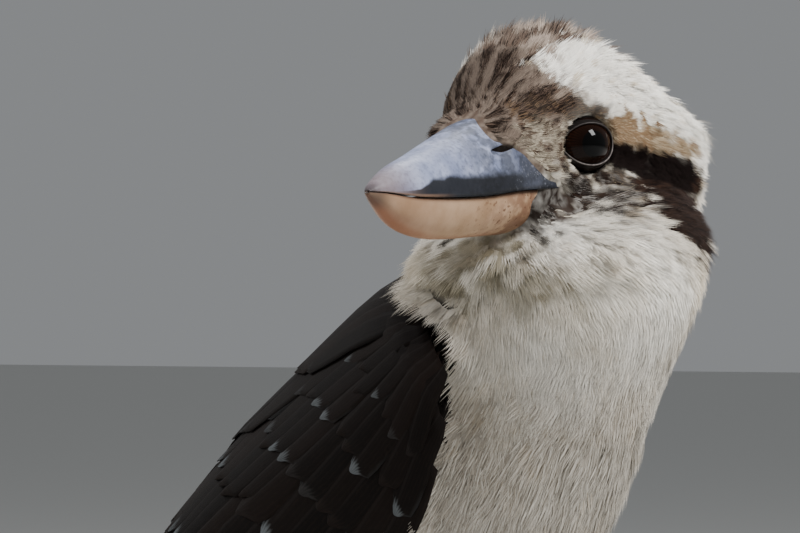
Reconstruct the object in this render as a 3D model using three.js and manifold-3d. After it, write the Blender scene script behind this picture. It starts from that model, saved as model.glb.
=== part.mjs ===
// Laughing kookaburra, life size, standing on both feet with its head turned to its right.
// Millimetres, +Z up. The body faces -Y, its left side is +X, and the soles rest on z = 0.

import * as THREE from 'three';
import { mergeVertices } from 'three/addons/utils/BufferGeometryUtils.js';
import Module from 'manifold-3d';

const wasm = await Module();
wasm.setup();

// Stance
const EYE_HEIGHT = 202;
const HEAD_X = -12;
const HEAD_Y = -47.5;
const HEAD_TURN_DEG = 81;
const BODY_PITCH_DEG = 53;
const BODY_Y = 4;
const BODY_Z = 104.7;
const WING_PITCH_DEG = 30;
const WING_END = 180;
const WING_CORE_END = 100;
const TAIL_PITCH_DEG = 14;
const TAIL_ROOT_Y = 52;
const TAIL_ROOT_Z = 55;
const TAIL_LENGTH = 148;
const STANCE_HALF = 21;

// Bill, measured forward of the eyes and up from them
const BILL_BACK = 2;
const CULMEN_BASE = 24.3;
const MOUTH_GAP = 0.3;

// Eye
const EYE_RADIUS = 8;
const EYE_SIDE = 18.5;
const EYE_FACING_DEG = 58;
const EYE_SINK = 4.6;

// Clearance kept between two nodes that touch
const GAP = 0.3;

const UP = new THREE.Vector3(0, 0, 1);
const degrees = THREE.MathUtils.degToRad;

// A local frame as a function of distances forward, to the left and up.
function frame(origin, forward, up) {
  const left = new THREE.Vector3().crossVectors(up, forward);
  return (f, l, u) => origin.clone()
    .addScaledVector(forward, f)
    .addScaledVector(left, l)
    .addScaledVector(up, u);
}

// A direction in the plane X = 0, pitched down from level toward +Y (the tail).
function backward(pitchDeg) {
  const pitch = degrees(pitchDeg);
  return new THREE.Vector3(0, Math.cos(pitch), -Math.sin(pitch));
}

function upFrom(direction) {
  return new THREE.Vector3(0, -direction.z, direction.y);
}

const headTurn = degrees(HEAD_TURN_DEG);
const headForward = new THREE.Vector3(-Math.sin(headTurn), -Math.cos(headTurn), 0);
const headAt = frame(new THREE.Vector3(HEAD_X, HEAD_Y, EYE_HEIGHT), headForward, UP);

const bodyBack = backward(BODY_PITCH_DEG);
const bodyUp = upFrom(bodyBack);
const bodyAt = frame(new THREE.Vector3(0, BODY_Y, BODY_Z), bodyBack.clone().negate(), bodyUp);

const wingBack = backward(WING_PITCH_DEG);
const wingUp = upFrom(wingBack);
const wingAt = frame(new THREE.Vector3(0, -35, 140), wingBack, wingUp);

const tailBack = backward(TAIL_PITCH_DEG);
const tailUp = upFrom(tailBack);
const tailAt = frame(new THREE.Vector3(0, TAIL_ROOT_Y, TAIL_ROOT_Z), tailBack, tailUp);

// A smooth curve through [x, y] knots, as a function of x.
function profile(...knots) {
  const slopes = knots.map((_, i) => {
    const [x0, y0] = knots[Math.max(i - 1, 0)];
    const [x1, y1] = knots[Math.min(i + 1, knots.length - 1)];
    return (y1 - y0) / (x1 - x0);
  });
  return (x) => {
    let i = 0;
    while (i < knots.length - 2 && x > knots[i + 1][0]) i += 1;
    const [x0, y0] = knots[i];
    const [x1, y1] = knots[i + 1];
    const span = x1 - x0;
    const t = THREE.MathUtils.clamp((x - x0) / span, 0, 1);
    const rise = t * t * (3 - 2 * t);
    const leave = t * (1 - t) * (1 - t) * slopes[i] * span;
    const arrive = t * t * (t - 1) * slopes[i + 1] * span;
    return y0 + (y1 - y0) * rise + leave + arrive;
  };
}

// Points of an oval: [across, up], with its own height above and below the centre.
function oval(count, half, top, bottom, power = 2) {
  const shape = (value) => Math.sign(value) * Math.abs(value) ** (2 / power);
  return Array.from({ length: count }, (_, i) => {
    const angle = (2 * Math.PI * i) / count;
    const up = shape(Math.cos(angle));
    return [half * shape(Math.sin(angle)), up > 0 ? up * top : up * bottom];
  });
}

// Evenly spaced values from first to last.
function steps(first, last, count) {
  return Array.from({ length: count }, (_, i) => first + ((last - first) * i) / Math.max(count - 1, 1));
}

// A closed three.js geometry as a solid with its faces pointing out.
function solid(geometry) {
  const bare = geometry.clone();
  bare.deleteAttribute('normal');
  bare.deleteAttribute('uv');
  const merged = mergeVertices(bare, 1e-4);
  const body = new wasm.Manifold(new wasm.Mesh({
    numProp: 3,
    vertProperties: new Float32Array(merged.attributes.position.array),
    triVerts: new Uint32Array(merged.index.array),
  }));
  return body;
}

// A closed skin over rings of points, each end closed by a fan about its middle.
function loft(rings) {
  const count = rings[0].length;
  const points = rings.flat();
  const middle = (ring) => ring
    .reduce((sum, point) => sum.add(point), new THREE.Vector3())
    .divideScalar(ring.length);
  const first = points.push(middle(rings[0])) - 1;
  const last = points.push(middle(rings[rings.length - 1])) - 1;
  const faces = [];
  for (let i = 0; i < count; i += 1) {
    const j = (i + 1) % count;
    for (let k = 0; k < rings.length - 1; k += 1) {
      const near = k * count;
      const far = near + count;
      faces.push(near + i, near + j, far + i);
      faces.push(near + j, far + j, far + i);
    }
    const end = (rings.length - 1) * count;
    faces.push(j, i, first);
    faces.push(end + i, end + j, last);
  }
  return closed(points, faces);
}

// A solid from points and faces, turned so that the faces point out.
function closed(points, faces) {
  const geometry = new THREE.BufferGeometry().setFromPoints(points);
  geometry.setIndex(signedVolume(points, faces) < 0 ? faces.slice().reverse() : faces);
  return solid(geometry);
}

// A thin plate between two like grids of points, split into triangles alike on both faces.
function plate(upper, lower) {
  const rows = upper.length;
  const columns = upper[0].length;
  const points = [...upper.flat(), ...lower.flat()];
  const index = (row, column, face) => (face * rows + row) * columns + column;
  const faces = [];
  for (let row = 0; row < rows - 1; row += 1) {
    for (let column = 0; column < columns - 1; column += 1) {
      const corner = (down, over, face) => index(row + down, column + over, face);
      faces.push(corner(0, 0, 0), corner(1, 0, 0), corner(0, 1, 0));
      faces.push(corner(0, 1, 0), corner(1, 0, 0), corner(1, 1, 0));
      faces.push(corner(0, 0, 1), corner(0, 1, 1), corner(1, 0, 1));
      faces.push(corner(0, 1, 1), corner(1, 1, 1), corner(1, 0, 1));
    }
  }
  const rim = [
    ...steps(0, columns - 1, columns).map((column) => [0, column]),
    ...steps(1, rows - 1, rows - 1).map((row) => [row, columns - 1]),
    ...steps(columns - 2, 0, columns - 1).map((column) => [rows - 1, column]),
    ...steps(rows - 2, 1, rows - 2).map((row) => [row, 0]),
  ];
  rim.forEach(([row, column], i) => {
    const [nextRow, nextColumn] = rim[(i + 1) % rim.length];
    const [a, b] = [index(row, column, 0), index(nextRow, nextColumn, 0)];
    const [c, d] = [index(row, column, 1), index(nextRow, nextColumn, 1)];
    faces.push(a, b, c);
    faces.push(b, d, c);
  });
  return closed(points, faces);
}

function signedVolume(points, faces) {
  let volume = 0;
  for (let i = 0; i < faces.length; i += 3) {
    const [a, b, c] = [points[faces[i]], points[faces[i + 1]], points[faces[i + 2]]];
    volume += a.dot(new THREE.Vector3().crossVectors(b, c)) / 6;
  }
  return volume;
}

// Ovals strung along stations of a frame. The shape gives each station's half width, top and
// bottom, an optional middle height and squareness, and grow swells them all.
function tapered(at, stations, shape, count, grow = 0) {
  return loft(stations.map((station) => {
    const { half, top, bottom, middle = 0, power = 2 } = shape(station);
    return oval(count, half + grow, top + grow, bottom + grow, power)
      .map(([across, up]) => at(station, across, middle + up));
  }));
}

// A round rod through points, with a radius for each.
function rod(points, radii, count = 8) {
  const rings = points.map((point, i) => {
    const before = points[Math.max(i - 1, 0)];
    const after = points[Math.min(i + 1, points.length - 1)];
    const along = after.clone().sub(before).normalize();
    const side = new THREE.Vector3().crossVectors(along, Math.abs(along.z) > 0.9 ? wingUp : UP);
    side.normalize();
    const rise = new THREE.Vector3().crossVectors(side, along);
    return Array.from({ length: count }, (_, k) => {
      const angle = (2 * Math.PI * (k + 0.5)) / count;
      return point.clone()
        .addScaledVector(side, radii[i] * Math.cos(angle))
        .addScaledVector(rise, radii[i] * Math.sin(angle));
    });
  });
  return loft(rings);
}

// An ellipsoid turned so that its first axis points along a direction.
function ellipsoid(centre, along, radii, detail = 16) {
  const geometry = new THREE.SphereGeometry(1, detail, Math.round(detail * 0.6));
  geometry.scale(...radii);
  const turn = new THREE.Quaternion().setFromUnitVectors(new THREE.Vector3(1, 0, 0), along);
  geometry.applyQuaternion(turn);
  geometry.translate(centre.x, centre.y, centre.z);
  return solid(geometry);
}

// The half of space beyond a plane, as a block far larger than the bird.
function beyond(point, normal) {
  const size = 1200;
  const block = new THREE.BoxGeometry(size, size, size);
  block.translate(0, 0, size / 2);
  block.applyQuaternion(new THREE.Quaternion().setFromUnitVectors(UP, normal));
  block.translate(point.x, point.y, point.z);
  return solid(block);
}

// The piece of a body between two cut planes, half a gap short of each.
function piece(body, planes) {
  return planes.reduce((rest, [point, normal]) => (
    rest.intersect(beyond(point.clone().addScaledVector(normal, GAP / 2), normal))
  ), body);
}

function join(...bodies) {
  return bodies.reduce((sum, body) => sum.add(body));
}

// The largest closed surface of a body.
function whole(body) {
  return body.decompose().reduce((best, part) => (part.volume() > best.volume() ? part : best));
}

// A vane's outline as [share of its length, share of its width].
const VANE_OUTLINE = [[0, 0.55], [0.4, 1], [0.82, 0.94], [1, 0.4]];
const VANE_THICKNESS = 0.6;

// One feather laid on a surface. Its root and tip are [along, across], its lift is given at the
// root and beyond, and tilt raises the edge on the far side. at(along, across, lift) is the
// surface's point, and unit(along) the measure across that makes one millimetre there.
function vane(at, unit, { root, tip, width, lift, tilt = 0 }) {
  const grid = (face) => VANE_OUTLINE.map(([t, share]) => {
    const along = THREE.MathUtils.lerp(root[0], tip[0], t);
    const middleLine = THREE.MathUtils.lerp(root[1], tip[1], t);
    const rise = t ? lift[1] : lift[0];
    return [-1, 1].map((edge) => at(
      along,
      middleLine + (edge * share * width * unit(along)) / 2,
      rise + edge * tilt + (face * VANE_THICKNESS) / 2,
    ));
  });
  return plate(grid(1), grid(-1));
}

// A row of count vanes. Roots, tips and widths are given for its first and last vane, and each
// vane lies a drop lower than the one before it.
function vaneRow(at, unit, count, { roots, tips, widths, lift, tilt, drop = 0 }) {
  const between = (pair, t) => THREE.MathUtils.lerp(pair[0], pair[1], t);
  const mix = ([first, last], t) => first.map((value, i) => between([value, last[i]], t));
  return steps(0, 1, count).map((t, i) => vane(at, unit, {
    root: mix(roots, t),
    tip: mix(tips, t),
    width: between(widths, t),
    lift: lift.map((height) => height - drop * i),
    tilt,
  }));
}

const group = new THREE.Group();
group.name = 'laughing_kookaburra';

// A finished node, with its geometry about its own pivot.
function node(name, body, material, pivot) {
  const { vertProperties, triVerts } = whole(body).getMesh();
  const geometry = new THREE.BufferGeometry();
  geometry.setAttribute('position', new THREE.BufferAttribute(new Float32Array(vertProperties), 3));
  geometry.setIndex(new THREE.BufferAttribute(new Uint32Array(triVerts), 1));
  geometry.translate(-pivot.x, -pivot.y, -pivot.z);
  geometry.computeVertexNormals();
  const mesh = new THREE.Mesh(geometry, material);
  mesh.name = name;
  mesh.position.copy(pivot);
  group.add(mesh);
}

const finish = (color, roughness) => new THREE.MeshStandardMaterial({ color, roughness, metalness: 0 });
const MATERIALS = {
  crown: finish(0x9c9189, 0.9),
  white: finish(0xcfc8bd, 0.9),
  wing: finish(0x3a2c24, 0.85),
  tail: finish(0x8a4f2c, 0.85),
  upperBill: finish(0x6d7688, 0.4),
  lowerBill: finish(0xb79b86, 0.45),
  eye: finish(0x1a100b, 0.05),
  leg: finish(0x77705f, 0.7),
};

// Head: distances forward of the eyes against half width, crown, underside and squareness.
const headShape = {
  half: profile([-53, 9], [-50, 21.5], [-44, 28.5], [-34, 30], [-22, 27.5], [-10, 23.5], [0, 20.2],
    [8, 17.4], [15, 15], [21, 12], [25, 7]),
  top: profile([-53, 4], [-50, 7], [-44, 12], [-34, 19], [-22, 26], [-10, 29.6], [0, 29],
    [8, 26], [15, 21.5], [21, 15], [25, 9]),
  bottom: profile([-53, 14], [-50, 26], [-44, 36], [-34, 38], [-22, 36], [-10, 31], [0, 27.5],
    [8, 25.5], [15, 23.5], [21, 19], [25, 9]),
};
const HEAD_STATIONS = [-53, -50.5, -46, -39, -31, -22, -13, -5, 2, 8, 13.5, 18.5, 22.5, 25];

function headForm(grow = 0) {
  const shape = (station) => ({
    half: headShape.half(station),
    top: headShape.top(station) - 2,
    bottom: headShape.bottom(station) + 2,
    middle: 2,
    power: 2.35,
  });
  return tapered(headAt, HEAD_STATIONS, shape, 26, grow);
}

// Neck: level ovals by height, from the shoulders up into the head.
const neckShape = {
  x: profile([128, 0], [163, 0], [176, 2], [185, 7], [200, 15]),
  y: profile([128, -22], [150.5, -36], [163, -46.5], [176, -49.5], [200, -47.5]),
  across: profile([128, 20], [140, 33], [150.5, 37], [163, 35.5], [176, 34.5], [185, 30], [193, 22], [200, 10]),
  deep: profile([128, 26], [140, 42], [150.5, 46], [163, 41], [176, 38], [185, 32.5], [193, 25], [200, 13]),
};

function neckForm() {
  return loft([...steps(128, 176, 7), 181, 186, 191, 196, 200].map((height) => (
    oval(24, neckShape.across(height), neckShape.deep(height), neckShape.deep(height), 2.1)
      .map(([across, along]) => new THREE.Vector3(
        neckShape.x(height) + across,
        neckShape.y(height) + along,
        height,
      ))
  )));
}

// Torso: distances up the body's own line against half width, back depth and belly depth.
const torsoShape = {
  half: profile([-76, 8], [-70, 14], [-58, 25], [-45, 32.5], [-25, 37.5], [0, 38.5], [25, 37.5], [45, 36],
    [62, 31], [72, 25], [82, 15]),
  top: profile([-76, 9], [-70, 16], [-58, 27], [-45, 35], [-25, 38.5], [0, 39.5], [25, 37.5], [45, 33.5],
    [62, 25], [72, 15], [82, 8]),
  bottom: profile([-76, 4], [-70, 10], [-58, 22], [-45, 34], [-25, 45], [0, 50.5], [25, 51], [45, 51],
    [62, 47], [72, 42.5], [82, 34]),
};

function torsoForm(grow = 0) {
  const shape = (station) => ({
    half: torsoShape.half(station),
    top: torsoShape.top(station),
    bottom: torsoShape.bottom(station),
    power: 2.15,
  });
  return tapered(bodyAt, steps(-76, 82, 15), shape, 32, grow);
}

// Rump and the coverts round the tail's root, back from the tail's root plane.
const rumpShape = {
  half: profile([-34, 22], [-10, 20], [10, 16], [28, 12], [46, 7]),
  top: profile([-34, 22], [-10, 16], [10, 10], [28, 6.5], [46, 3.6]),
  bottom: profile([-34, 24], [-10, 19], [10, 12], [28, 7.5], [46, 3.8]),
};

function rumpForm(grow = 0) {
  const shape = (station) => ({
    half: rumpShape.half(station),
    top: rumpShape.top(station),
    bottom: rumpShape.bottom(station),
  });
  return tapered(tailAt, steps(-34, 46, 7), shape, 20, grow);
}

// Wing: a folded sheet about the wing's own line, a back along it and turn down from the back's top.
const wingShape = {
  half: profile([-22, 37.5], [0, 40], [30, 41.5], [67, 41], [90, 38], [110, 33.5], [130, 28.5], [150, 23.5],
    [165, 20], [WING_END, 17]),
  top: profile([-22, 33], [10, 34], [36, 30.5], [67, 25.5], [90, 20], [106, 16], [127, 12.5],
    [150, 9.5], [WING_END, 8]),
  bottom: profile([-22, 34], [0, 40], [30, 46], [60, 47], [90, 38], [120, 24], [150, 12], [WING_END, 7]),
};

function wingPoint(side, a, turnDeg, lift) {
  const turn = degrees(turnDeg);
  const across = (wingShape.half(a) + lift) * Math.sin(turn);
  const reach = turnDeg < 90 ? wingShape.top(a) : wingShape.bottom(a);
  return wingAt(a, -side * across, (reach + lift) * Math.cos(turn));
}

// The folded wing's upper and lower edges, as turns down from the back, and its thickness.
const wingEdge = {
  upper: profile([-16, 66], [-8, 44], [8, 26], [30, 16], [60, 12], [120, 18], [155, 34], [WING_END, 58]),
  lower: profile([-16, 88], [-8, 108], [8, 128], [25, 134], [60, 126], [100, 112], [150, 98],
    [WING_END, 86]),
  inner: profile([-16, -7], [60, -9], [110, -5], [150, -2], [WING_END, -1.2]),
};

function wingSlab(side, last, lift = 0) {
  const across = 9;
  const rings = steps(-16, last, 13).map((a) => {
    const turns = steps(wingEdge.upper(a), wingEdge.lower(a), across);
    const rim = (i) => Math.min(1, 2.6 * Math.min(i, across - 1 - i) / (across - 1) + 0.12);
    const outer = turns.map((turn, i) => wingPoint(side, a, turn, lift - 2.2 * (1 - rim(i))));
    const inner = turns.map((turn, i) => (
      wingPoint(side, a, turn, wingEdge.inner(a) * (i % (across - 1) ? 1 : 0.45))
    ));
    return [...outer, ...inner.reverse()];
  });
  return loft(rings);
}

const wingUnit = (a) => 360 / (Math.PI * (wingShape.half(a) + wingShape.top(a)));

// The feather tiers of a folded wing, from the lowest layer to the topmost. Roots and tips are
// [along the wing, turn down from the back] for the tier's first and last vane.
const WING_TIERS = {
  primaries: [4, {
    roots: [[84, 86], [80, 108]],
    tips: [[WING_END, 62], [148, 94]],
    widths: [12, 12],
    lift: [-1.6, -0.9],
    tilt: 0.3,
    drop: 0.9,
  }],
  secondaries: [6, {
    roots: [[60, 38], [62, 108]],
    tips: [[146, 44], [114, 98]],
    widths: [13.5, 13.5],
    lift: [-1.4, 0.3],
    tilt: 0.45,
    drop: 0.5,
  }],
  tertials: [2, {
    roots: [[50, 22], [52, 38]],
    tips: [[150, 26], [138, 42]],
    widths: [17, 16],
    lift: [-1, 2.3],
    tilt: 0.3,
    drop: 0.8,
  }],
  greaterCoverts: [5, {
    roots: [[44, 42], [34, 117]],
    tips: [[94, 44], [76, 114]],
    widths: [17.5, 17],
    lift: [-1, 1.9],
    tilt: 0.65,
  }],
  medianCoverts: [5, {
    roots: [[18, 44], [8, 116]],
    tips: [[62, 44], [46, 116]],
    widths: [18.5, 17.5],
    lift: [-1, 3.5],
    tilt: 0.65,
  }],
  scapulars: [2, {
    roots: [[2, 34], [0, 56]],
    tips: [[68, 20], [58, 42]],
    widths: [18, 17],
    lift: [-1, 5],
    tilt: 0.4,
    drop: 0.5,
  }],
};

function wingFeathers(side) {
  const at = (a, turn, lift) => wingPoint(side, a, turn, lift);
  return Object.values(WING_TIERS).flatMap(([count, row]) => vaneRow(at, wingUnit, count, row));
}

// Tail: twelve long feathers closed over one another, the middle pair on top.
const TAIL_PAIRS = 6;
const TAIL_STEP = 0.85;
const TAIL_TOP = 2.6;
const TAIL_ARCH = 0.006;

function tailFeathers() {
  const at = (a, across, up) => tailAt(a, across, up - TAIL_ARCH * across * across);
  const unit = () => 1;
  return steps(0, TAIL_PAIRS - 1, TAIL_PAIRS).flatMap((pair) => [1, -1].map((side) => {
    const crossing = Math.min(pair, 2) * 2 + (side < 0 && pair < 2 ? 1 : 0);
    const layer = crossing + Math.max(pair - 2, 0);
    const height = TAIL_TOP - TAIL_STEP * layer;
    return vane(at, unit, {
      root: [4, side * (1.5 + pair * 1.3)],
      tip: [TAIL_LENGTH - 2.2 * Math.max(pair - 1, 0) ** 1.4, side * (2.2 + pair * 3.6)],
      width: 17 - pair * 0.4,
      lift: [height * 0.7, height],
    });
  }));
}

// Coverts that lie over the tail's root, above and below.
function tailCoverts() {
  const at = (a, turn, lift) => {
    const turned = degrees(turn);
    const reach = Math.abs(turn) < 90 ? rumpShape.top(a) : rumpShape.bottom(a);
    return tailAt(
      a,
      (rumpShape.half(a) + lift) * Math.sin(turned),
      (reach + lift) * Math.cos(turned),
    );
  };
  const unit = (a) => 360 / (Math.PI * 2 * rumpShape.half(a));
  const covert = (turn, tip, lift) => vane(at, unit, {
    root: [3, turn],
    tip: [tip, turn * (turn > 90 ? 1 : 0.7)],
    width: 13,
    lift: [-1.5, lift],
  });
  return [covert(-48, 42, 0.6), covert(48, 42, 0.6), covert(0, 48, 1.7), covert(180, 44, 0.6)];
}

// Bill, forward of the eyes: ridge, cutting edge, underside and half width.
const billShape = {
  ridge: profile([2, 12.5], [CULMEN_BASE, 7], [42.9, 1.4], [57.8, -3.2], [68, -6.1], [76.5, -9.9],
    [80, -12]),
  edge: profile([2, -11], [23, -11.8], [40.6, -13.4], [63.4, -13.8], [75.8, -12.7], [80, -12.5]),
  under: profile([2, -22.6], [21.7, -23], [47.5, -24], [60, -22.7], [68, -20.2], [74, -16.8], [80, -13.2]),
  half: profile([2, 15.2], [23, 13], [40.6, 10.9], [63.4, 6.6], [72, 4.2], [77, 2.4], [80, 0.8]),
};
const BILL_STATIONS = [BILL_BACK, 12, 23, 33, 43, 53, 62, 69, 74, 77.5, 80];

// One mandible: an arch over or under the cutting edge.
function mandible(limit, width, sign, grow = 0) {
  const count = 13;
  return loft(BILL_STATIONS.map((station) => {
    const half = billShape.half(station) * width + grow;
    const edge = billShape.edge(station) + sign * (MOUTH_GAP / 2 - grow);
    const height = Math.max(sign * (limit(station) - edge), 0.25) + grow;
    return steps(0, Math.PI, count).map((angle) => {
      const side = Math.sign(Math.cos(angle)) * Math.abs(Math.cos(angle)) ** 0.9;
      return headAt(station, half * side, edge + sign * height * Math.sin(angle) ** 0.9);
    });
  }));
}

const upperForm = (grow = 0) => mandible(billShape.ridge, 1, 1, grow);
const lowerForm = (grow = 0) => mandible(billShape.under, 0.92, -1, grow);

// Eyes, set into dished sockets and ringed by lids
const eyeFacing = degrees(EYE_FACING_DEG);

function eyeParts(side) {
  const facing = headAt(Math.cos(eyeFacing), side * Math.sin(eyeFacing), 0).sub(headAt(0, 0, 0));
  const rim = headAt(0, side * EYE_SIDE, 0);
  const centre = rim.clone().addScaledVector(facing, -EYE_SINK);
  const ball = (grow) => ellipsoid(centre, facing, Array(3).fill(EYE_RADIUS + grow), 18);
  const ring = new THREE.TorusGeometry(6.7, 1.25, 6, 18);
  ring.scale(1.06, 0.93, 1);
  const basis = new THREE.Matrix4().makeBasis(
    new THREE.Vector3().crossVectors(UP, facing),
    UP,
    facing,
  );
  ring.applyMatrix4(basis);
  const lids = rim.clone().addScaledVector(facing, -0.4);
  ring.translate(lids.x, lids.y, lids.z);
  const dish = ellipsoid(rim.clone().addScaledVector(facing, 2.6), facing, [4.6, 8.6, 7.4], 12);
  return { ball, lids: solid(ring), dish };
}

// Groove that carries the line of the mouth back from the bill into the cheek.
function gapeGroove(side) {
  const path = [[5, 14.6, -11.2], [0, 16.6, -10.9], [-6.6, 18.2, -10.75]];
  return rod(path.map(([f, l, u]) => headAt(f, side * l, u)), [1.3, 1.1, 0.7], 8);
}

// Thighs, shanks and feet
function legPoint(side, x, y, z) {
  return new THREE.Vector3(side * x, y, z);
}

function thighForm(side) {
  const half = profile([29, 5.6], [38, 10], [52, 15], [78, 16]);
  const y = profile([29, 4.5], [45, 2.5], [78, 6]);
  return loft(steps(29, 78, 6).map((height) => (
    oval(14, half(height), half(height) * 1.3, half(height) * 1.3)
      .map(([across, along]) => legPoint(side, STANCE_HALF - 1 + across, y(height) + along, height))
  )));
}

const SHANK_TOP = 34;
const ANKLE = 8;

function shankForm(side) {
  const heights = [ANKLE - 3, 10, 15, 22, 29, SHANK_TOP + 3];
  const radii = [4.2, 3.6, 3.1, 3.1, 3.4, 3.8];
  const points = heights.map((z) => legPoint(side, STANCE_HALF, 1 + z * 0.11, z));
  return rod(points, radii, 10);
}

// Toes as [length, spread in degrees from straight ahead, radius]
const TOES = [
  [27, -2, 2.9],
  [23, 17, 2.8],
  [19, -21, 2.7],
  [15, 168, 2.8],
];
const CLAW_LENGTH = 8.5;

function toeForm(side, [length, spreadDeg, radius]) {
  const spread = degrees(spreadDeg);
  const along = (distance, z) => legPoint(
    side,
    STANCE_HALF + distance * Math.sin(spread),
    1.6 - distance * Math.cos(spread),
    z,
  );
  const knuckle = (t) => 1 + 0.12 * Math.cos(2 * Math.PI * t * 2);
  const stations = steps(0, 1, 5);
  const pads = rod(
    stations.map((t) => along(length * t, radius * 0.9 + 1.4 * (1 - t) ** 2)),
    stations.map((t) => radius * knuckle(t) * (1 - 0.22 * t)),
    7,
  );
  const hook = steps(0, 1, 4);
  const claw = rod(
    hook.map((t) => along(length - 1.5 + CLAW_LENGTH * t, 2.9 + 1.5 * Math.sin(Math.PI * t * 0.9) - 2 * t)),
    hook.map((t) => 1.7 * (1 - t) ** 0.8 + 0.25),
    5,
  );
  return join(pads, claw);
}

function footForm(side) {
  const palm = ellipsoid(legPoint(side, STANCE_HALF, 1.6, 4.2), wingBack.clone().setZ(0).normalize(),
    [6.2, 4.8, 4.6], 9);
  return join(palm, ...TOES.map((toe) => toeForm(side, toe)));
}

// Cut planes that part the body into its nodes
const HEAD_CUT = [new THREE.Vector3(0, 0, 175), UP];
const neckTilt = new THREE.Vector3(0, -0.3, 1).normalize();
const NECK_CUT = [new THREE.Vector3(0, -45, 151), neckTilt];
const TAIL_CUT = [tailAt(9, 0, 0), tailBack];
const opposite = ([point, normal]) => [point, normal.clone().negate()];

const eyes = { left: eyeParts(1), right: eyeParts(-1) };
const flesh = join(torsoForm(), neckForm(), headForm(), rumpForm());

let head = piece(flesh, [HEAD_CUT])
  .subtract(eyes.left.dish)
  .subtract(eyes.right.dish);
head = join(head, eyes.left.lids, eyes.right.lids)
  .subtract(eyes.left.ball(GAP))
  .subtract(eyes.right.ball(GAP))
  .subtract(upperForm(GAP))
  .subtract(lowerForm(GAP))
  .subtract(gapeGroove(1))
  .subtract(gapeGroove(-1));
node('head', head, MATERIALS.crown, headAt(0, 0, 0));

const nostril = (side) => ellipsoid(headAt(26.5, side * 8.2, -0.6), headForward, [3.2, 1.6, 0.9], 10);
const upperBill = [nostril(1), nostril(-1), eyes.left.ball(GAP), eyes.right.ball(GAP)]
  .reduce((rest, cut) => rest.subtract(cut), upperForm());
node('bill_upper', upperBill, MATERIALS.upperBill, headAt(BILL_BACK, 0, -11));
node('bill_lower', lowerForm(), MATERIALS.lowerBill, headAt(BILL_BACK, 0, -11));
node('eye_left', eyes.left.ball(0), MATERIALS.eye, headAt(0, EYE_SIDE, 0));
node('eye_right', eyes.right.ball(0), MATERIALS.eye, headAt(0, -EYE_SIDE, 0));

node('neck', piece(flesh, [opposite(HEAD_CUT), NECK_CUT]), MATERIALS.white, NECK_CUT[0]);

const torso = piece(flesh, [opposite(NECK_CUT), opposite(TAIL_CUT)]);
node('torso', torso, MATERIALS.white, bodyAt(0, 0, 0));

const tail = piece(join(rumpForm(), ...tailFeathers(), ...tailCoverts()), [TAIL_CUT]);
node('tail', tail, MATERIALS.tail, tailAt(0, 0, 0));

const clearOfBody = join(torsoForm(GAP), neckForm(), rumpForm(GAP));
for (const [name, side] of [['left', 1], ['right', -1]]) {
  const wing = join(wingSlab(side, WING_CORE_END), ...wingFeathers(side)).subtract(clearOfBody);
  node(`wing_${name}`, wing, MATERIALS.wing, wingPoint(side, 0, 90, 0));

  const thigh = piece(thighForm(side).subtract(clearOfBody), [[legPoint(side, 0, 0, SHANK_TOP), UP]]);
  node(`thigh_${name}`, thigh, MATERIALS.white, legPoint(side, STANCE_HALF, 4, 60));

  const shank = piece(shankForm(side), [
    [legPoint(side, 0, 0, SHANK_TOP), UP.clone().negate()],
    [legPoint(side, 0, 0, ANKLE), UP],
  ]);
  node(`shank_${name}`, shank, MATERIALS.leg, legPoint(side, STANCE_HALF, 3, SHANK_TOP));

  const floor = [legPoint(side, 0, 0, -GAP / 2), UP];
  const foot = piece(footForm(side), [floor, [legPoint(side, 0, 0, ANKLE), UP.clone().negate()]]);
  node(`foot_${name}`, foot, MATERIALS.leg, legPoint(side, STANCE_HALF, 0, ANKLE));
}

// The origin lies on the floor under the middle of the bird's box.
const box = new THREE.Box3().setFromObject(group);
const middle = box.getCenter(new THREE.Vector3());
group.position.set(-middle.x, -middle.y, 0);

export default group;
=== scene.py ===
"""A life-size laughing kookaburra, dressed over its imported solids.

The bird stands on both feet with its head turned to its right. Sizes in the classes are
millimetres, measured in the bird's own frames; a mesh is put into metres when it is made.
"""

import logging
import math
from dataclasses import dataclass, field, replace
from enum import Enum
from functools import partial
from typing import Any, Callable, Sequence

import bmesh
import bpy
import numpy as np
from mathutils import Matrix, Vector


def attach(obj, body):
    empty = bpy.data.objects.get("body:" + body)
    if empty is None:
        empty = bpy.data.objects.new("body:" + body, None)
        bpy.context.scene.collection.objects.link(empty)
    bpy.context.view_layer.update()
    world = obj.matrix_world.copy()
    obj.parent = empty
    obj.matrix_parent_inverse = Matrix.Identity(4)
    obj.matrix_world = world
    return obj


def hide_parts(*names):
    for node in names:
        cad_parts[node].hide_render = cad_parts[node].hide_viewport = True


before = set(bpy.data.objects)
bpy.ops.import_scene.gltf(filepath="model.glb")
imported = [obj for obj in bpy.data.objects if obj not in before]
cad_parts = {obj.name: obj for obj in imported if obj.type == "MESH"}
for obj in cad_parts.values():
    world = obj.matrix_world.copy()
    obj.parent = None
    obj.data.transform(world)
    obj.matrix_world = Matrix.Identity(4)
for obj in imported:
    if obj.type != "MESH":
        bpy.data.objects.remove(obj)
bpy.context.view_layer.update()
LOG = logging.getLogger("kookaburra")

Array = np.ndarray
Piece = bpy.types.Object
Material = bpy.types.Material
Colour = tuple[float, float, float]

METRES_PER_MM = 0.001
BODY = "root"
PHOTO_WIDTH_PX = 800
PHOTO_HEIGHT_PX = 533
PX_PER_MM = 4.0


class Side(Enum):
    """A side of the bird, as the sign of its left."""

    LEFT = 1
    RIGHT = -1

    @property
    def label(self) -> str:
        """The side's name in piece and node names."""
        return self.name.lower()


class Slot(Enum):
    """The record's material slots."""

    HEAD = "head_feathers"
    BODY = "body_feathers"
    WING = "wing_feathers"
    TAIL = "tail_feathers"
    BILL_DARK = "bill_dark"
    BILL_PALE = "bill_pale"
    EYE = "eye"
    LEGS = "legs"


# Numbers, curves and frames


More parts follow.
